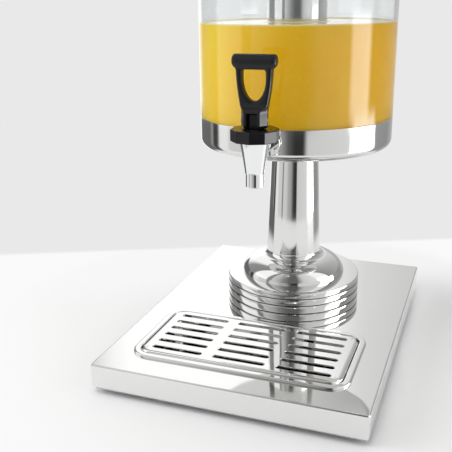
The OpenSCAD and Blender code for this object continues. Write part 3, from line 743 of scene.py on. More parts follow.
def clear_finish(tint):
    """Clear moulded plastic that bends the light, with faint wiped haze. Shadow rays go straight through."""
    nodes = new_nodes("clear_plastic")
    haze = nodes.noise(nodes.stretched(nodes.place(), (14.0, 14.0, 5.0)), scale=1.0, detail=4.0)
    plastic = nodes.principled(
        Base_Color=opaque(tint),
        Roughness=0.004 + 0.02 * nodes.step(haze, 0.55, 0.9),
        IOR=1.57,
        Transmission_Weight=1.0,
    )
    open_way = nodes.node("ShaderNodeBsdfTransparent", None, {"Color": opaque(tint)})
    nodes.show(nodes.blend(nodes.ray("Is Shadow Ray"), plastic, open_way))
    return nodes.owner


def juice_finish(tint, pulp_and_painted_light, top):
    """Cloudy juice: pulp flecks at two scales and painted light that makes its left side paler, a paler
    edge where it froths at the top, a wet top and a soft inner glow."""
    nodes = new_nodes("juice")
    place = nodes.place()
    up = nodes.part(place, "Z")
    edge, wet, brim = top - 2.2 * MM, top - 1.6 * MM, top - 0.4 * MM
    froth_tint = (0.92, 0.84, 0.56)
    flecks = nodes.noise(nodes.stretched(place, (1.0, 1.0, 0.7)), scale=210.0, detail=4.0, roughness=0.6)
    drift = nodes.noise(nodes.stretched(place, (1.0, 1.0, 0.45)), scale=22.0, detail=2.0)
    froth = nodes.step(up, edge, brim)
    # Painted light: the side towards -X is painted paler with the pulp colour, standing in for the light that
    # falls on it there.
    clear = nodes.step(nodes.part(place, "X"), -100 * MM, 30 * MM)
    share = 0.2 * nodes.step(flecks, 0.45, 0.75) + 0.2 * nodes.step(drift, 0.3, 0.8) + 0.6 * (1 - clear)
    body = nodes.mix(share, tint, pulp_and_painted_light)
    return nodes.shade(
        Base_Color=nodes.mix(0.75 * froth, body, froth_tint),
        Roughness=0.3 + 0.2 * flecks,
        Specular_IOR_Level=0.1,
        Coat_Weight=nodes.step(up, edge, wet),
        Coat_IOR=1.34,
        Coat_Roughness=0.03,
        Subsurface_Weight=0.25,
        Subsurface_Radius=(1.0, 0.55, 0.12),
        Subsurface_Scale=6 * MM,
        Normal=nodes.bump(flecks, depth=0.15 * MM, strength=0.4),
    )


class DISPENSER_OT_finishes(Operator):
    """Makes the materials, and puts them on the CAD pieces that stay in view or inside"""

    bl_idname = "dispenser.finishes"
    bl_label = "Finishes"

    # The CAD nodes that are carried over as they are, by their finish
    CARRIED = {
        "plain": ("base_plate", "plate_screws", "foot_screws", "foot_nuts", "base_stiffener", "tie_rod",
                  "rod_washer", "rod_nut", "knob_screw"),
        "steel": ("rod_cap_nut", "shank_nut", "lever_pin"),
        "silicone": ("seat_cup", "lid_seal", "bowl_pad", "rod_seal"),
        "rubber": ("outer_seal", "inner_seal"),
        "black": ("valve_stem",),
    }

    def execute(self, context):
        tints = context.scene.dispenser_finishes
        flat, spun = toned(tints.steel, 1.05), toned(tints.steel, 0.96)
        rib = half_width("foot_collar")
        bulge = context.scene.dispenser_pedestal.bulge
        # Where the collar's grooves get painted shade in their colour: bottom radius, edge radius and top.
        groove_shade = (rib - 0.45 * bulge, rib - 0.1 * bulge, span("foot_collar")[1][2])
        finishes["steel"] = steel_finish("polished_steel", flat, rough=0.02)
        finishes["spun"] = steel_finish("spun_steel", spun, rough=0.05, spun=True)
        finishes["ribbed"] = steel_finish("ribbed_steel", spun, rough=0.05, spun=True, groove_shade=groove_shade)
        for name, make in (
            ("chrome", chrome_finish),
            ("plain", plain_finish),
            ("black", black_finish),
            ("rubber", rubber_finish),
            ("silicone", silicone_finish),
            ("clear", clear_finish),
        ):
            finishes[name] = make(tuple(getattr(tints, name)))
        juice_top = span("juice_fill")[1][2]
        finishes["juice"] = juice_finish(tuple(tints.juice), tuple(tints.pulp_and_painted_light), juice_top)
        for finish, names in self.CARRIED.items():
            for name in names:
                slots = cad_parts[name].data.materials
                slots.clear()
                slots.append(finishes[finish])
        return {"FINISHED"}


class DISPENSER_OT_base(Operator):
    """Builds the folded base casing: a profile of top, fold, side, fold and flange carried round the base,
    and the cut-out's outline joined to it across the flat top"""

    bl_idname = "dispenser.base"
    bl_label = "Base casing"

    def execute(self, context):
        sizes = context.scene.dispenser_base
        low, high = span("base_shell")
        half_w, half_d = (high[:2] - low[:2]) / 2
        bottom, top, sheet = low[2], high[2], sizes.sheet
        inner = sizes.fold - 0.6 * sheet
        profile = rounded(
            [
                (2 * sizes.flange, top, 0),
                (0, top, sizes.fold),
                (0, bottom, sizes.fold),
                (sizes.flange, bottom, 0),
                (sizes.flange, bottom + sheet, 0),
                (sheet, bottom + sheet, inner),
                (sheet, top - sheet, inner),
                (2 * sizes.flange, top - sheet, 0),
            ]
        )[1:-1]
        skin = carried(profile, half_w, half_d, sizes.corner, (0, 0))
        tray_low, tray_high = span("drip_pan")
        cut_half = (tray_high[:2] - tray_low[:2]) / 2 - sizes.rim + sizes.play
        cut = rounded_rectangle(cut_half[0], cut_half[1], sizes.rim_corner - sizes.rim + sizes.play)
        over, under = (at_height(cut, height, TRAY)[None] for height in (top, top - sheet))
        rows = np.concatenate([over, skin, under])
        piece("base_casing", [grid_part(rows, wrap_rows=True)], "steel", "stand", "base_shell")
        return {"FINISHED"}


class DISPENSER_OT_feet(Operator):
    """Builds four turned rubber feet with a recess for the screw"""

    bl_idname = "dispenser.feet"
    bl_label = "Feet"

    def execute(self, context):
        sizes = context.scene.dispenser_base
        low, high = span("rubber_feet")
        radius, foot, top = sizes.foot, low[2], high[2]
        recess, deep, draft = 4.6 * MM, 3 * MM, 0.6 * MM
        profile = rounded(
            [
                (0, foot + deep, 0),
                (recess, foot + deep, 0),
                (recess, foot, 0.5 * MM),
                (radius - draft, foot, 1.2 * MM),
                (radius, top, 0.4 * MM),
                (0, top, 0),
            ],
            steps=6,
            beside=0.1 * MM,
        )
        parts = []
        for x in (low[0] + radius, high[0] - radius):
            for y in (low[1] + radius, high[1] - radius):
                parts.append(grid_part(turned(profile, (x, y), around=64)))
        piece("feet", parts, "rubber", "stand", "rubber_feet")
        return {"FINISHED"}


class DISPENSER_OT_pan(Operator):
    """Builds the drip pan: a rounded rim, a ledge and a deep floor, as one profile carried round the tray"""

    bl_idname = "dispenser.pan"
    bl_label = "Drip pan"

    def execute(self, context):
        sizes = context.scene.dispenser_base
        low, high = span("drip_pan")
        half_w, half_d = (high[:2] - low[:2]) / 2
        sheet = sizes.pan_sheet
        base_top = span("base_shell")[1][2]
        top, floor = high[2], low[2]
        ledge = top - sizes.ledge_drop
        well = sizes.rim + sheet
        deep = well + sizes.ledge
        small, bend_under, bend_over, brow = 0.4 * MM, 1.6 * MM, 1.2 * MM, 1.1 * MM
        last = half_d - 1 * MM  # inset of the floor's last loop
        profile = rounded(
            [
                (last, floor, 0),
                (deep - sheet, floor, bend_under),
                (deep - sheet, ledge - sheet, small),
                (well - sheet, ledge - sheet, small),
                (well - sheet, top - sheet, small),
                (sheet, top - sheet, small),
                (sheet, base_top, 0),
                (0, base_top, 0),
                (0, top, sizes.rim_round),
                (well, top, brow),
                (well, ledge, small),
                (deep, ledge, small),
                (deep, floor + sheet, bend_over),
                (last, floor + sheet, 0),
            ],
            beside=0.15 * MM,
        )
        grid = carried(profile, half_w, half_d, sizes.rim_corner, TRAY)
        row = (1, *grid.shape[1:])
        under, over = (np.broadcast_to([*TRAY, height], row) for height in (floor, floor + sheet))
        piece("pan", [grid_part(np.concatenate([under, grid, over]))], "steel", "tray", "drip_pan")
        return {"FINISHED"}


class DISPENSER_OT_grille(Operator):
    """Builds the slotted grille: each slot is a stack of rings that grows from its bore through a rolled
    lip to its share of the sheet, and the sheet's outline grows on into the rolled edge and skirt"""

    bl_idname = "dispenser.grille"
    bl_label = "Grille"

    LONG = 36  # steps along a slot
    SHORT = 12  # steps round a slot's end
    FLAT = (2.4 * MM, 2.6 * MM)  # the plain sheet between the cells and the rolled edge, across and along
    INSIDE = 1.6 * MM  # how much smaller the grille's corner radius is than the rim's on its inside

    def slot_ring(self, sizes, grow):
        """A slot's outline grown outward: two straight sides and two half circles, as (x, y) points."""
        reach = (sizes.slot_length - sizes.slot_width) / 2
        radius = sizes.slot_width / 2 + grow
        run = np.linspace(-reach, reach, self.LONG, endpoint=False)
        turn = np.pi * np.linspace(0, 1, self.SHORT, endpoint=False) - np.pi / 2
        front = np.column_stack([run, np.full(self.LONG, -radius)])
        right = np.column_stack([reach + radius * np.cos(turn), radius * np.sin(turn)])
        return np.vstack([front, right, -front, -right])

    def cell_ring(self, low, high):
        """A rectangle's outline with the same number of points as a slot's, from its front left corner."""
        run = np.linspace(0, 1, self.LONG, endpoint=False)
        rise = np.linspace(0, 1, self.SHORT, endpoint=False)
        front = np.column_stack([low[0] + (high[0] - low[0]) * run, np.full(self.LONG, low[1])])
        right = np.column_stack([np.full(self.SHORT, high[0]), low[1] + (high[1] - low[1]) * rise])
        back = np.column_stack([high[0] - (high[0] - low[0]) * run, np.full(self.LONG, high[1])])
        left = np.column_stack([np.full(self.SHORT, low[0]), high[1] - (high[1] - low[1]) * rise])
        return np.vstack([front, right, back, left])

    @staticmethod
    def on_outline(loop, half, half_w, half_d, radius):
        """Points of a rectangle's outline moved to a rounded rectangle's: the rectangle is scaled to it, and
        what lies beside a corner is laid along its quarter circle."""
        scaled = loop * np.array([half_w / half[0], half_d / half[1]])
        sign = np.where(scaled < 0, -1.0, 1.0)
        size = np.abs(scaled)
        over = size - np.array([half_w - radius, half_d - radius])
        corner = np.all(over > 0, axis=1)
        share = np.clip(over / radius, 0, 1)
        eighth = 0.25 * np.pi
        angle = np.where(share[:, 0] >= 1, eighth * share[:, 1], 2 * eighth - eighth * share[:, 0])
        centre = np.array([half_w - radius, half_d - radius])
        bent = centre + radius * np.column_stack([np.cos(angle), np.sin(angle)])
        return sign * np.where(corner[:, None], bent, size)

    @staticmethod
    def runs(edges, steps):
        """Equal steps along each stretch from one edge to the next."""
        stretches = zip(edges[:-1], edges[1:])
        return np.concatenate([np.linspace(a, b, steps, endpoint=False) for a, b in stretches])

    def execute(self, context):
        sizes, base = context.scene.dispenser_grille, context.scene.dispenser_base
        low, high = span("drip_grille")
        half_w, half_d = (high[:2] - low[:2]) / 2
        top, foot, sheet, edge, lip = high[2], low[2], sizes.sheet, sizes.edge, sizes.lip
        corner = base.rim_corner - base.rim - self.INSIDE
        half = np.array([half_w, half_d]) - edge - np.array(self.FLAT)
        xs = (np.arange(sizes.columns + 1) - sizes.columns / 2) * sizes.column_pitch
        ys = (np.arange(sizes.rows + 1) - sizes.rows / 2) * sizes.row_pitch
        xs[[0, -1]] = -half[0], half[0]
        ys[[0, -1]] = -half[1], half[1]
        lift = np.radians(np.linspace(0, 90, 6))
        grow = lip * (1 - np.cos(lift))
        rise = top - lip * (1 - np.sin(lift))
        parts = []
        for i in range(sizes.columns):
            for j in range(sizes.rows):
                spot = np.array([(i - (sizes.columns - 1) / 2) * sizes.column_pitch,
                                 (j - (sizes.rows - 1) / 2) * sizes.row_pitch])
                cell = self.cell_ring((xs[i], ys[j]), (xs[i + 1], ys[j + 1]))
                rings = [(0, top - sheet), *zip(grow, rise), (lip + 0.2 * MM, top)]
                rows = [at_height(self.slot_ring(sizes, g) + spot, z, TRAY) for g, z in rings]
                rows = [at_height(cell, top - sheet, TRAY), *rows, at_height(cell, top, TRAY)]
                parts.append(grid_part(np.stack(rows)))
        along = self.runs(xs, self.LONG)
        up = self.runs(ys, self.SHORT)
        outline = np.vstack([
            np.column_stack([along, np.full(len(along), -half[1])]),
            np.column_stack([np.full(len(up), half[0]), up]),
            np.column_stack([-along, np.full(len(along), half[1])]),
            np.column_stack([np.full(len(up), -half[0]), -up]),
        ])
        inner, foot_edge = edge + 1 * MM, 0.3 * MM
        profile = rounded(
            [
                (inner, top, 0),
                (0, top, edge),
                (0, foot, foot_edge),
                (sheet, foot, foot_edge),
                (sheet, top - sheet, edge - sheet),
                (inner, top - sheet, 0),
            ],
            beside=0.1 * MM,
        )
        rows = [at_height(outline, top, TRAY)]
        for inset, height in profile:
            loop = self.on_outline(outline, half, half_w - inset, half_d - inset, corner - inset)
            rows.append(at_height(loop, height, TRAY))
        rows.append(at_height(outline, top - sheet, TRAY))
        parts.append(grid_part(np.stack(rows)))
        piece("grille", parts, "steel", "grille", "drip_grille")
        return {"FINISHED"}


class DISPENSER_OT_pedestal(Operator):
    """Builds the ribbed collar, the bell-shaped dome and the tapered column, each a profile turned round
    the axis"""

    bl_idname = "dispenser.pedestal"
    bl_label = "Pedestal"

    def execute(self, context):
        sizes = context.scene.dispenser_pedestal
        self.collar(sizes)
        self.dome(sizes)
        self.column(sizes)
        return {"FINISHED"}

    def collar(self, sizes):
        """Rounded bands one above the other, each lower than the last by the same share: across a band from
        -1 to 1, radius = root + bulge * (1 - t^n)^(1/n)."""
        low, high = span("foot_collar")
        outer = half_width("foot_collar")
        root = outer - sizes.bulge
        share = (1 - sizes.rib_share ** np.arange(sizes.ribs + 1)) / (1 - sizes.rib_share**sizes.ribs)
        edges = low[2] + (high[2] - low[2]) * share
        t = np.sin(np.radians(np.linspace(-90, 90, 33)))
        power = 3.2
        band = root + sizes.bulge * (1 - np.abs(t) ** power) ** (1 / power)
        bands = [
            np.column_stack([band, lower + (upper - lower) * (0.5 + 0.5 * t)])
            for lower, upper in zip(edges[:-1], edges[1:])
        ]
        roof = high[2] - sizes.wall
        hole = outer - 45 * MM
        inner = root - sizes.wall
        inside = np.array([(hole, high[2]), (hole, roof), (inner, roof), (inner, low[2])])
        turned_piece("collar", np.vstack(bands + [inside]), "ribbed", "stand", "foot_collar", sharp=60)

    def dome(self, sizes):
        """A quarter of an ellipse from the foot to the shoulder, then a hollow arc up to the column."""
        low, high = span("column_dome")
        tube = half_width("column_tube")
        across = half_width("column_dome") - tube
        shoulder = high[2] - sizes.fillet
        rise = (shoulder - low[2]) / math.sqrt(1 - (sizes.fillet / across) ** 2)
        turn = np.linspace(0, math.acos(sizes.fillet / across), 40)
        bell = np.column_stack([tube + across * np.cos(turn), low[2] + rise * np.sin(turn)])
        hollow = np.radians(np.linspace(270, 180, 16))
        centre = np.array([tube, high[2]])
        fillet = centre + sizes.fillet * np.column_stack([1 + np.cos(hollow), np.sin(hollow)])
        inside = np.array([(tube - sizes.wall, high[2]), (tube - sizes.wall, low[2])])
        turned_piece("dome", np.vstack([bell, fillet, inside]), "spun", "stand", "column_dome")

    def column(self, sizes):
        """A straight taper from the dome to the bowl."""
        low, high = span("column_tube")
        foot = half_width("column_tube")
        share = np.linspace(0, 1, 24)
        radius = foot + (sizes.column_top - foot) * share
        outside = np.column_stack([radius, low[2] + (high[2] - low[2]) * share])
        inside = outside[::-1] - np.array([sizes.wall, 0])
        turned_piece("column", np.vstack([outside, inside]), "spun", "stand", "column_tube")


class DISPENSER_OT_vessel(Operator):
    """Builds the steel bowl, the clear canister and the juice in it, each a profile turned round the axis"""

    bl_idname = "dispenser.vessel"
    bl_label = "Bowl, canister and juice"

    ROD_HOLE = 6 * MM  # radius of the hole for the rod that clamps the vessel down

    def execute(self, context):
        sizes = context.scene.dispenser_vessel
        self.bowl(sizes)
        self.canister(sizes)
        self.juice(sizes)
        return {"FINISHED"}

    def bowl(self, sizes):
        """A flat floor, a bend and an upright band, folded back on itself one sheet further in."""
        low, high = span("bowl")
        radius = half_width("bowl")
        sheet, hole, lip = sizes.sheet, self.ROD_HOLE, 0.5 * MM
        profile = rounded(
            [
                (hole, low[2], 0),
                (radius, low[2], sizes.bend),
                (radius, high[2], lip),
                (radius - sheet, high[2], lip),
                (radius - sheet, low[2] + sheet, sizes.bend - sheet),
                (hole, low[2] + sheet, 0),
            ],
            steps=14,
            beside=0.1 * MM,
        )
        turned_piece("steel_bowl", profile, "spun", "stand", "bowl")

    def canister(self, sizes):
        """A clear pot: its foot drops inside the band, and its wall is flush with the band above it."""
        low, high = span("canister")
        radius = half_width("canister")
        play, bite, edge = 0.3 * MM, 0.1 * MM, 1.2 * MM
        seat = span("bowl")[1][2] + 0.2 * MM
        foot = radius - sizes.sheet - play
        inside = span("juice_fill")[1][0] - bite
        floor = low[2] + sizes.floor
        hole = self.ROD_HOLE
        profile = rounded(
            [
                (hole, low[2], 0),
                (foot, low[2], sizes.bend - sizes.sheet),
                (foot, seat, 0),
                (radius, seat, 0.4 * MM),
                (radius, high[2], edge),
                (inside, high[2], edge),
                (inside, floor, 4 * MM),
                (hole, floor, 0),
            ]
        )
        turned_piece("clear_canister", profile, "clear", "stand", "canister")

    def juice(self, sizes):
        """A pool that climbs the wall and the ice tube by the meniscus, as (1 - distance / width)^2."""
        low, high = span("juice_fill")
        outer = half_width("juice_fill")
        inner = sizes.tube + 0.2 * MM
        tube_foot = span("ice_tube")[0][2] - 0.4 * MM
        width, bend = 5 * MM, 3.5 * MM
        level = high[2] - sizes.meniscus
        brink = level - 2 * MM
        climb = np.linspace(0, 1, 9)
        wall = np.column_stack([outer - width * climb, level + sizes.meniscus * (1 - climb) ** 2])
        tube = np.column_stack([inner + width * climb[::-1], level + sizes.meniscus * climb**2])
        foot = rounded([(0, low[2], 0), (outer, low[2], bend), (outer, brink, 0)])
        inside = rounded([(inner, brink, 0), (inner, tube_foot, bend), (0, tube_foot, 0)])
        profile = np.vstack([foot, wall, tube, inside])
        turned_piece("juice_body", profile, "juice", "stand", "juice_fill", closed=False)


class DISPENSER_OT_tap(Operator):
    """Builds the plated tap: spout, cone and neck blended into one casting, its flange, the black bonnet
    and the valve's spring"""

    bl_idname = "dispenser.tap"
    bl_label = "Tap"

    def execute(self, context):
        sizes = context.scene.dispenser_tap
        self.body(sizes)
        self.flange(sizes)
        self.bonnet(sizes)
        self.spring()
        return {"FINISHED"}

    def body(self, sizes):
        """The skin of a field: a turned outline joined to a level neck by a soft fillet, less the spout's
        bore. The cone's radius goes as a power of its height."""
        low, high = span("tap_body")
        flange_low, flange_high = span("tap_flange")
        mouth, head = low[2], high[0]
        shank_z = (flange_low[2] + flange_high[2]) / 2
        flange_y = flange_low[1]
        bonnet_z = span("tap_bonnet")[0][2]
        cone_z = mouth + sizes.spout_long
        cone_foot = sizes.spout + 0.5 * MM
        cone_power, cone_slope = 1.12, 0.97
        bore_up = 8 * MM  # how far the bore goes on above the cone's foot
        mouth_round, neck_fillet, bore_round = 1.2 * MM, 3 * MM, 0.8 * MM

        def field(x, y, z):
            deep = y - TAP[1]
            radius = np.hypot(x, deep)
            share = np.clip((z - cone_z) / (bonnet_z - cone_z), 0, 1)
            taper = cone_foot + (sizes.cone - cone_foot) * share**cone_power
            outline = np.where(z < cone_z, sizes.spout, taper)
            body = smooth_max((radius - outline) * cone_slope, mouth - z, mouth_round)
            body = np.maximum(body, z - bonnet_z)
            crown = np.maximum(radius - head, np.maximum(bonnet_z - z, z - high[2]))
            neck = np.maximum(np.hypot(x, z - shank_z) - sizes.neck, np.maximum(-deep, y - flange_y))
            shank = np.maximum(np.hypot(x, z - shank_z) - sizes.shank, np.maximum(-deep, y - high[1]))
            solid = np.minimum(smooth_min(body, neck, neck_fillet), np.minimum(crown, shank))
            bore = np.maximum(radius - sizes.bore, z - cone_z - bore_up)
            return smooth_max(solid, -bore, bore_round)

        skinned_piece("tap_casting", field, "chrome", "stand", "tap_body")

    def flange(self, sizes):
        """A round plate with softened edges, turned about the shank."""
        low, high = span("tap_flange")
        radius = half_width("tap_flange")
        centre = ((low[0] + high[0]) / 2, (low[2] + high[2]) / 2)
        profile = rounded(
            [
                (sizes.shank, low[1], 0),
                (radius, low[1], 1.2 * MM),
                (radius, high[1], 0.5 * MM),
                (sizes.shank, high[1], 0),
            ],
            beside=0.1 * MM,
        )
        part = grid_part(turned_across(profile, centre), wrap_rows=True)
        piece("tap_plate", [part], "chrome", "stand", "tap_flange")

    def bonnet(self, sizes):
        """A thick nut: a profile of softened edges carried round its flats, and round circles for its hollow
        and its hole."""
        low, high = span("tap_bonnet")
        foot, top = low[2], high[2]
        reach = sizes.bonnet * math.cos(math.pi / sizes.bonnet_sides)
        wall, roof, hole = 3 * MM, 4 * MM, 2.6 * MM
        foot_edge, top_edge, corner = 0.7 * MM, 1.1 * MM, 1.2 * MM
        outside = rounded(
            [(wall, foot, 0), (0, foot, foot_edge), (0, top, top_edge), (reach / 2, top, 0)],
            beside=0.1 * MM,
        )[1:]
        flats = [
            flat_sided(sizes.bonnet_sides, reach - inset, corner, sizes.bonnet_turn) for inset, _ in outside
        ]
        round_way = flats[0] / np.linalg.norm(flats[0], axis=1)[:, None]
        inner = reach - wall
        circles = [(hole, top), (hole, top - roof), (inner, top - roof), (inner, foot)]
        rows = [at_height(loop, height, TAP) for loop, (_, height) in zip(flats, outside)]
        rows += [at_height(radius * round_way, height, TAP) for radius, height in circles]
        part = grid_part(np.stack(rows), wrap_rows=True)
        piece("bonnet", [part], "black", "stand", "tap_bonnet", sharp=30)

    def spring(self):
        """A wire wound up a helix, with closed ends. It stays where it is made, with its head under the
        bonnet."""
        low, high = span("valve_spring")
        wire, turns, steps, sides = 0.5 * MM, 6, 24, 10
        share = np.linspace(0, 1, turns * steps + 1)
        share = np.concatenate([share[:1], share, share[-1:]])[:, None]
        thick = np.full_like(share, wire)
        thick[[0, -1]] = 0
        way = 2 * math.pi * turns * share
        section = np.linspace(0, 2 * math.pi, sides, endpoint=False)
        reach = half_width("valve_spring") - wire + thick * np.cos(section)
        height = low[2] + wire + (high[2] - low[2] - 2 * wire) * share + thick * np.sin(section)
        grid = np.stack([TAP[0] + reach * np.cos(way), TAP[1] + reach * np.sin(way), height], axis=-1)
        made = piece("spring_coil", [grid_part(grid)], "plain", None, "valve_spring")
        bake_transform(made)


class DISPENSER_OT_lever(Operator):
    """Builds the black lever as the skin of a field: a forked neck that swells into two arms round a finger
    opening, and a cross bar with rounded ends, all blended"""

    bl_idname = "dispenser.lever"
    bl_label = "Lever"

    def execute(self, context):
        sizes = context.scene.dispenser_tap
        low, high = span("tap_lever")
        foot = low[2]
        bar_half = half_width("tap_lever")
        neck_deep = (high[1] - low[1]) / 2
        bar_up = high[2] - foot - sizes.bar
        bar_end, bar_blend = 3 * MM, 3 * MM
        web = 1.4 * MM
        open_low = sizes.neck_high + web
        open_high = open_low + sizes.opening_high
        open_corner = 3 * MM
        belly = 0.72 * sizes.opening_high
        loop_low = sizes.neck_high - 4 * MM
        taper_low = sizes.neck_high - 9 * MM
        bevel_way = math.radians(59)  # a flat's heading, from the front towards the side
        bevel_edge, fork_edge = 0.6 * MM, 0.8 * MM

        def field(x, y, z):
            up = z - foot
            deep = y - TAP[1]
            side = np.abs(x)
            swell = np.clip((up - loop_low) / (bar_up - loop_low), 0, 1)
            width = 0.5 * (sizes.lever_neck + (sizes.arms - sizes.lever_neck) * swell * (2 - swell))
            thin = np.clip((up - taper_low) / (sizes.neck_high - taper_low), 0, 1)
            ease = thin**2 * (3 - 2 * thin)
            depth = neck_deep + (0.5 * sizes.arms_deep - neck_deep) * ease
            half = 0.5 * sizes.opening
            bowl = (np.hypot(x / half, (up - open_low - belly) / belly) - 1) * half
            mouth = np.where(up < open_low + belly, bowl, side - half)
            opening = smooth_max(mouth, up - open_high, open_corner)
            over, ahead = side - width, np.abs(deep) - depth
            loop = smooth_max(over, ahead, sizes.edges)
            flat = math.sin(bevel_way) * over + math.cos(bevel_way) * ahead + sizes.neck_bevel * (1 - ease)
            loop = smooth_max(loop, flat, bevel_edge)
            loop = smooth_max(loop, -opening, sizes.edges)
            loop = np.maximum(smooth_max(loop, -up, sizes.neck_foot), up - bar_up)
            radial = np.hypot(deep, up - bar_up) - (sizes.bar - bar_end)
            along = side - (bar_half - bar_end)
            beyond = np.hypot(np.maximum(radial, 0), np.maximum(along, 0))
            bar = beyond + np.minimum(np.maximum(radial, along), 0) - bar_end
            inside = np.maximum(up - sizes.fork_high, deep - sizes.fork_back)
            fork = np.maximum(side - 0.5 * sizes.fork, inside)
            return smooth_max(smooth_min(loop, bar, bar_blend), -fork, fork_edge)

        skinned_piece("lever_loop", field, "black", "lever", "tap_lever")
        return {"FINISHED"}


class DISPENSER_OT_lid(Operator):
    """Builds the spun lid, the ice tube that hangs in it, its cap and the knob, each a profile turned round
    the axis"""

    bl_idname = "dispenser.lid"
    bl_label = "Lid and ice tube"

    def execute(self, context):
        sizes = context.scene.dispenser_vessel
        self.lid(sizes)
        self.tube(sizes)
        self.cap(sizes)
        self.knob()
        return {"FINISHED"}

    def lid(self, sizes):
        """A skirt, a flat edge and a crown that rises as 1 - t^2 from the edge to the tube's flange."""
        low, high = span("lid")
        radius = half_width("lid")
        sheet, lip = sizes.sheet, 0.4 * MM
        edge = span("canister")[1][2] + sheet
        hole = sizes.tube + 0.6 * MM
        inner = half_width("ice_tube")
        t = np.linspace(1, 0, 24)
        across = inner + (sizes.lid_flat - inner) * t
        crown = np.column_stack([across, edge + (high[2] - edge) * (1 - t**2)])
        drop = np.array([0, sheet])
        skirt = rounded(
            [
                (radius - sheet, low[2], lip),
                (radius, low[2], lip),
                (radius, edge, sizes.lid_edge),
                (sizes.lid_flat, edge, 0),
            ],
            beside=0.05 * MM,
        )[:-1]
        rim = np.array([(hole, high[2]), (hole, high[2] - sheet)])
        back = np.array([(radius - sheet, edge - sheet)])
        profile = np.vstack([skirt, crown, rim, crown[::-1] - drop, back])
        turned_piece("spun_lid", profile, "spun", "lid", "lid")

    def tube(self, sizes):
        """A closed tube with a rounded foot and a flat flange."""
        low, high = span("ice_tube")
        flange = half_width("ice_tube")
        radius, wall = sizes.tube, sizes.tube_wall
        bend, lip = 4 * MM, 0.4 * MM
        profile = rounded(
            [
                (0, low[2], 0),
                (radius, low[2], bend),
                (radius, high[2] - wall, 0.3 * MM),
                (flange, high[2] - wall, lip),
                (flange, high[2], lip),
                (radius - wall, high[2], 0.6 * MM),
                (radius - wall, low[2] + wall, bend - wall),
                (0, low[2] + wall, 0),
            ],
            beside=0.05 * MM,
        )
        turned_piece("steel_tube", profile, "spun", "ice_tube", "ice_tube", closed=False)

    def cap(self, sizes):
        """A shallow quarter-ellipse dome over a plug ring."""
        low, high = span("ice_tube_cap")
        rim = half_width("ice_tube_cap")
        seat = span("ice_tube")[1][2]
        lip = sizes.sheet
        brow = seat + lip
        plug = sizes.tube - sizes.tube_wall - 0.6 * MM
        flat = 0.7 * half_width("cap_knob")
        turn = np.radians(np.linspace(0, 90, 24))
        across = flat + (rim - flat) * np.cos(turn)
        dome = np.column_stack([across, brow + (high[2] - seat - lip) * np.sin(turn)])
        under = np.array([(0, seat), (plug - lip, seat), (plug - lip, low[2]), (plug, low[2]), (plug, seat)])
        edge = rounded([(plug, seat, 0), (rim, seat, 0.4 * MM), (rim, brow, 0)], beside=0.05 * MM)[1:]
        profile = np.vstack([under, edge, dome, [(0, high[2])]])
        turned_piece("tube_cap", profile, "spun", "cap", "ice_tube_cap", closed=False)

    def knob(self):
        """A waisted neck that flows into a rounded head, half an ellipse from its underside to its crown."""
        low, high = span("cap_knob")
        radius = half_width("cap_knob")
        tall = high[2] - low[2]
        head = 0.3 * tall
        turn = np.radians(np.linspace(-62, 90, 32))
        ball = np.column_stack([radius * np.cos(turn), high[2] - head + head * np.sin(turn)])
        ball[-1, 0] = 0
        foot, waist, waist_up = 0.7 * radius, 0.45 * radius, low[2] + 0.2 * tall
        neck = rounded(
            [(0, low[2], 0), (foot, low[2], 0.4 * MM), (waist, waist_up, 2 * MM), (*ball[0], 0)],
            beside=0.1 * MM,
        )[:-1]
        profile = np.vstack([neck, ball])
        turned_piece("knob", profile, "black", "cap", "cap_knob", closed=False, around=128)


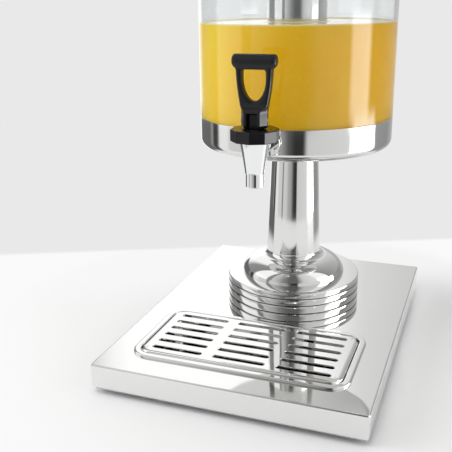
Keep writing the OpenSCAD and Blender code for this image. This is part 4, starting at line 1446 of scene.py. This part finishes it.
class DISPENSER_OT_stage(Operator):
    """Builds the table, the reflectors that the steel mirrors, the lamps, the world and the camera"""

    bl_idname = "dispenser.stage"
    bl_label = "Stage"

    # Brightness of the reflectors round the object, by degrees from the camera's side, positive to its
    # right: on the lower part of the wall, on its upper part, and on the table
    LOW = (
        (-180, 0.72), (-166, 1.20), (-150, 1.20), (-146, 0.16), (-112, 0.16), (-110, 0.32), (-106, 0.32),
        (-104, 0.06), (-96, 0.06), (-92, 1.00), (-80, 1.00), (-76, 0.78), (-58, 0.76), (-56, 0.28),
        (-52, 0.28), (-50, 0.76), (-36, 0.74), (-26, 0.50), (-14, 0.40), (-7, 0.12), (0, 0.035),
        (9, 0.035), (13, 0.75), (60, 0.85), (66, 9.0), (92, 9.0), (97, 0.38), (125, 0.33), (140, 0.45),
        (165, 0.55), (180, 0.72),
    )
    HIGH = (
        (-180, 1.36), (-150, 1.38), (-140, 1.10), (-128, 0.35), (-96, 0.30), (-92, 1.35), (-60, 1.25),
        (-57, 0.30), (-49, 0.30), (-46, 0.75), (-30, 0.50), (-22, 0.30), (-8, 0.15), (10, 0.15),
        (24, 0.75), (55, 0.95), (60, 5.20), (80, 5.20), (85, 0.32), (140, 0.55), (165, 0.80),
        (180, 1.36),
    )
    TABLE = (
        (-180, 0.92), (-150, 0.92), (-146, 0.15), (-96, 0.15), (-92, 0.97), (66, 0.97), (94, 0.97),
        (98, 0.40), (125, 0.37), (140, 0.55), (165, 0.65), (180, 0.92),
    )
    BRIGHTEST = 10.0  # the brightness at which a ramp of reflectors is white
    PALE = 1.2  # the most that a reflector gives above the soft box
    WALL_FOOT = (0.0, 0.006)  # heights between which the table's reflectors pass into the wall's
    LOW_TOP = (0.14, 0.19)  # heights between which the lower part of the wall passes into the upper
    BOX_TOP = (0.30, 0.34)  # heights between which the soft box ends
    RADIUS = 0.52  # of the wall
    HEIGHTS = (0.0005, 0.4, 0.9, 1.4)  # of the wall's rows of points
    MAT_EDGE = (0.29, 0.39)  # radii over which the reflectors on the table, round the base, come in
    MAT_TOP = (0.001, 0.002)  # heights between which these end
    FRONT = math.radians(15)  # the camera's side, from -Y towards +X
    TABLE_TURN = math.radians(3.6)  # from the camera's heading to that of the table's far edge
    TABLE_EDGE = (0.279, 0.295)  # how far behind the object the table ends
    TABLE_ROUND = (0.6, 1.4)  # how far from the object it ends on all sides
    EVEN_ROUND = (0.2, 0.36)  # how far from the object its shade gives way to an even brightness
    EVEN_BEHIND = (0.02, 0.2)  # the same behind the object, for the most part
    EVEN_SHARE = 0.85  # how much of the shade behind the object gives way
    EVEN = (0.95, 0.95, 0.95)  # colour of the even brightness

    def execute(self, context):
        stage = context.scene.dispenser_stage
        self.floor(stage)
        self.surround()
        self.lamps(stage)
        self.world(context.scene, stage)
        self.camera(context.scene, stage)
        context.scene.view_settings.view_transform = "Standard"
        return {"FINISHED"}

    @staticmethod
    def stand(name, points, faces, material):
        """A stage mesh, which is no part of the object."""
        mesh = bpy.data.meshes.new(name)
        mesh.from_pydata(points.tolist(), [], faces.tolist())
        mesh.shade_smooth()
        mesh.materials.append(material)
        made = bpy.data.objects.new(name, mesh)
        bpy.context.scene.collection.objects.link(made)
        return made

    def floor(self, stage):
        """A wide flat table: it takes the object's shade nearby, is evenly bright further off, and gives way
        to the backdrop past its far edge."""
        nodes = new_nodes("table")
        place = nodes.place()
        edge_way = stage.heading + self.TABLE_TURN
        behind = {0: place, 1: (-math.sin(edge_way), math.cos(edge_way), 0)}
        depth = nodes.node("ShaderNodeVectorMath", {"operation": "DOT_PRODUCT"}, behind, output="Value")
        reach = nodes.reach(place)
        far = nodes.larger(nodes.step(depth, *self.TABLE_EDGE), nodes.step(reach, *self.TABLE_ROUND))
        even_behind = self.EVEN_SHARE * nodes.step(depth, *self.EVEN_BEHIND)
        even = nodes.larger(nodes.step(reach, *self.EVEN_ROUND), even_behind)
        cloud = nodes.noise(place, scale=6.0)
        table = nodes.principled(
            Base_Color=opaque(tuple(stage.floor)), Roughness=0.5 + 0.1 * cloud, Specular_IOR_Level=0.2
        )
        table = nodes.blend(even, table, nodes.glow(self.EVEN))
        nodes.show(nodes.blend(far, table, nodes.glow(tuple(stage.backdrop))))
        side = np.linspace(-4, 4, 9)
        x, y = np.meshgrid(side, side, indexing="ij")
        points, faces = grid_part(np.stack([x, y, np.zeros_like(x)], axis=-1), wrap_columns=False)
        self.stand("table", points, faces, nodes.owner)

    def surround(self):
        """An upright cylinder of light and dark reflectors with a ring on the table, seen only in what
        mirrors it."""
        nodes = new_nodes("reflectors")
        place = nodes.place()
        across = nodes.part(place, "X")
        back = nodes.part(place, "Y") - AXIS[1]
        up = nodes.part(place, "Z")
        angle = nodes.node("ShaderNodeMath", {"operation": "ARCTAN2"}, {0: across, 1: 0 - back})
        turn = (angle - self.FRONT) / (2 * math.pi) + 1.5
        share = nodes.node("ShaderNodeMath", {"operation": "FRACT"}, {0: turn})
        rings = []
        for cards in (self.LOW, self.HIGH, self.TABLE):
            stops = [((degrees + 180) / 360, value / self.BRIGHTEST) for degrees, value in cards]
            rings.append(nodes.node("ShaderNodeValToRGB", {"stops": stops}, {0: share}))
        low, high, table = rings
        pale = (self.PALE / self.BRIGHTEST,) * 3
        dimmed = nodes.node("ShaderNodeVectorMath", {"operation": "MINIMUM"}, {0: high, 1: pale})
        upper = nodes.mix(nodes.step(up, *self.BOX_TOP), high, dimmed)
        shade = nodes.mix(nodes.step(up, *self.LOW_TOP), low, upper)
        shade = nodes.mix(nodes.step(up, *self.WALL_FOOT), table, shade)
        light = nodes.glow(shade, self.BRIGHTEST)
        unseen = nodes.node("ShaderNodeBsdfTransparent")
        near = 1 - nodes.step(nodes.from_axis(place), *self.MAT_EDGE)
        inward = (1 - nodes.step(up, *self.MAT_TOP)) * near
        nodes.show(nodes.blend(nodes.mirrored() * (1 - inward), unseen, light))
        profile = [(self.MAT_EDGE[0], self.HEIGHTS[0])] + [(self.RADIUS, height) for height in self.HEIGHTS]
        points, faces = grid_part(turned(np.array(profile), AXIS, around=180))
        made = self.stand("reflectors", points, faces, nodes.owner)
        for ray in ("camera", "diffuse", "shadow", "volume_scatter"):
            setattr(made, "visible_" + ray, False)

    def lamps(self, stage):
        """Three soft lamps, aimed at the object, which light it and stay out of its reflections."""
        target, upright = np.array([0, 0, 0.2]), (0, 0.02, 1)
        for name, place, size, power in (
            ("lamp_top", (-0.25, -0.35, 1.35), 1.1, stage.top_light),
            ("lamp_right", (1.0, -0.1, 0.55), 0.8, stage.right_light),
            ("lamp_left", (-1.0, -0.5, 0.6), 0.8, stage.left_light),
        ):
            lamp = bpy.data.lights.new(name, "AREA")
            lamp.size = size
            lamp.energy = power
            made = bpy.data.objects.new(name, lamp)
            made.location = place
            aim = unit(target - np.array(place))
            right = unit(np.cross(aim, upright))
            over = np.cross(right, aim)
            made.matrix_world = self.pose(right, over, aim, place)
            bpy.context.scene.collection.objects.link(made)
            for ray in ("camera", "glossy", "transmission"):
                setattr(made, "visible_" + ray, False)

    @staticmethod
    def pose(right, over, ahead, place):
        """The matrix of a lamp or camera that looks ahead."""
        matrix = np.eye(4)
        matrix[:3, :4] = np.column_stack([right, over, -np.array(ahead), place])
        return Matrix(matrix.tolist())

    def world(self, scene, stage):
        """A pale backdrop to the eye and through the clear wall, and an even light to all else."""
        scene.world = bpy.data.worlds.new("studio")
        nodes = Nodes(scene.world)
        through = nodes.ray("Is Transmission Ray") * (1 - nodes.mirrored())
        share = nodes.larger(nodes.ray("Is Camera Ray"), through)
        even = (stage.ambient,) * 3
        shade = nodes.mix(share, even, tuple(stage.backdrop))
        light = nodes.node("ShaderNodeBackground", None, {"Color": shade, "Strength": 1.0})
        nodes.show(light, "ShaderNodeOutputWorld")

    def camera(self, scene, stage):
        """The camera's axes from its heading, pitch and roll."""
        turn, tip, roll = stage.heading, stage.pitch, stage.roll
        ahead = np.array([-math.sin(turn) * math.cos(tip), math.cos(turn) * math.cos(tip), -math.sin(tip)])
        level = np.array([math.cos(turn), math.sin(turn), 0])
        over = np.cross(level, ahead)
        right = level * math.cos(roll) + over * math.sin(roll)
        up = over * math.cos(roll) - level * math.sin(roll)
        lens = bpy.data.cameras.new("camera")
        lens.lens = stage.lens
        lens.sensor_width = 36
        lens.clip_start = 0.01
        made = bpy.data.objects.new("camera", lens)
        made.matrix_world = self.pose(right, up, ahead, stage.eye)
        scene.collection.objects.link(made)
        scene.camera = made


GROUPS = {
    "dispenser_base": BaseSizes,
    "dispenser_grille": GrilleSizes,
    "dispenser_pedestal": PedestalSizes,
    "dispenser_vessel": VesselSizes,
    "dispenser_tap": TapSizes,
    "dispenser_finishes": Finishes,
    "dispenser_stage": StageSettings,
}
OPERATORS = (
    DISPENSER_OT_finishes,
    DISPENSER_OT_base,
    DISPENSER_OT_feet,
    DISPENSER_OT_pan,
    DISPENSER_OT_grille,
    DISPENSER_OT_pedestal,
    DISPENSER_OT_vessel,
    DISPENSER_OT_tap,
    DISPENSER_OT_lever,
    DISPENSER_OT_lid,
    DISPENSER_OT_stage,
)


class DISPENSER_PT_panel(Panel):
    """Lists the sizes, the colours and the steps that build the dispenser"""

    bl_idname = "DISPENSER_PT_panel"
    bl_label = "Juice dispenser"
    bl_space_type = "VIEW_3D"
    bl_region_type = "UI"
    bl_category = "Dispenser"

    def draw(self, context):
        for name, group in GROUPS.items():
            box = self.layout.box()
            for field in group.__annotations__:
                box.prop(getattr(context.scene, name), field)
        for operator in OPERATORS:
            self.layout.operator(operator.bl_idname)


def register():
    for name, group in GROUPS.items():
        bpy.utils.register_class(group)
        setattr(bpy.types.Scene, name, PointerProperty(type=group))
    for operator in OPERATORS:
        bpy.utils.register_class(operator)
    bpy.utils.register_class(DISPENSER_PT_panel)


def unregister():
    bpy.utils.unregister_class(DISPENSER_PT_panel)
    for operator in reversed(OPERATORS):
        bpy.utils.unregister_class(operator)
    for name, group in reversed(GROUPS.items()):
        delattr(bpy.types.Scene, name)
        bpy.utils.unregister_class(group)


def main():
    register()
    for operator in OPERATORS:
        group, name = operator.bl_idname.split(".")
        getattr(getattr(bpy.ops, group), name)()


if __name__ == "__main__":
    main()
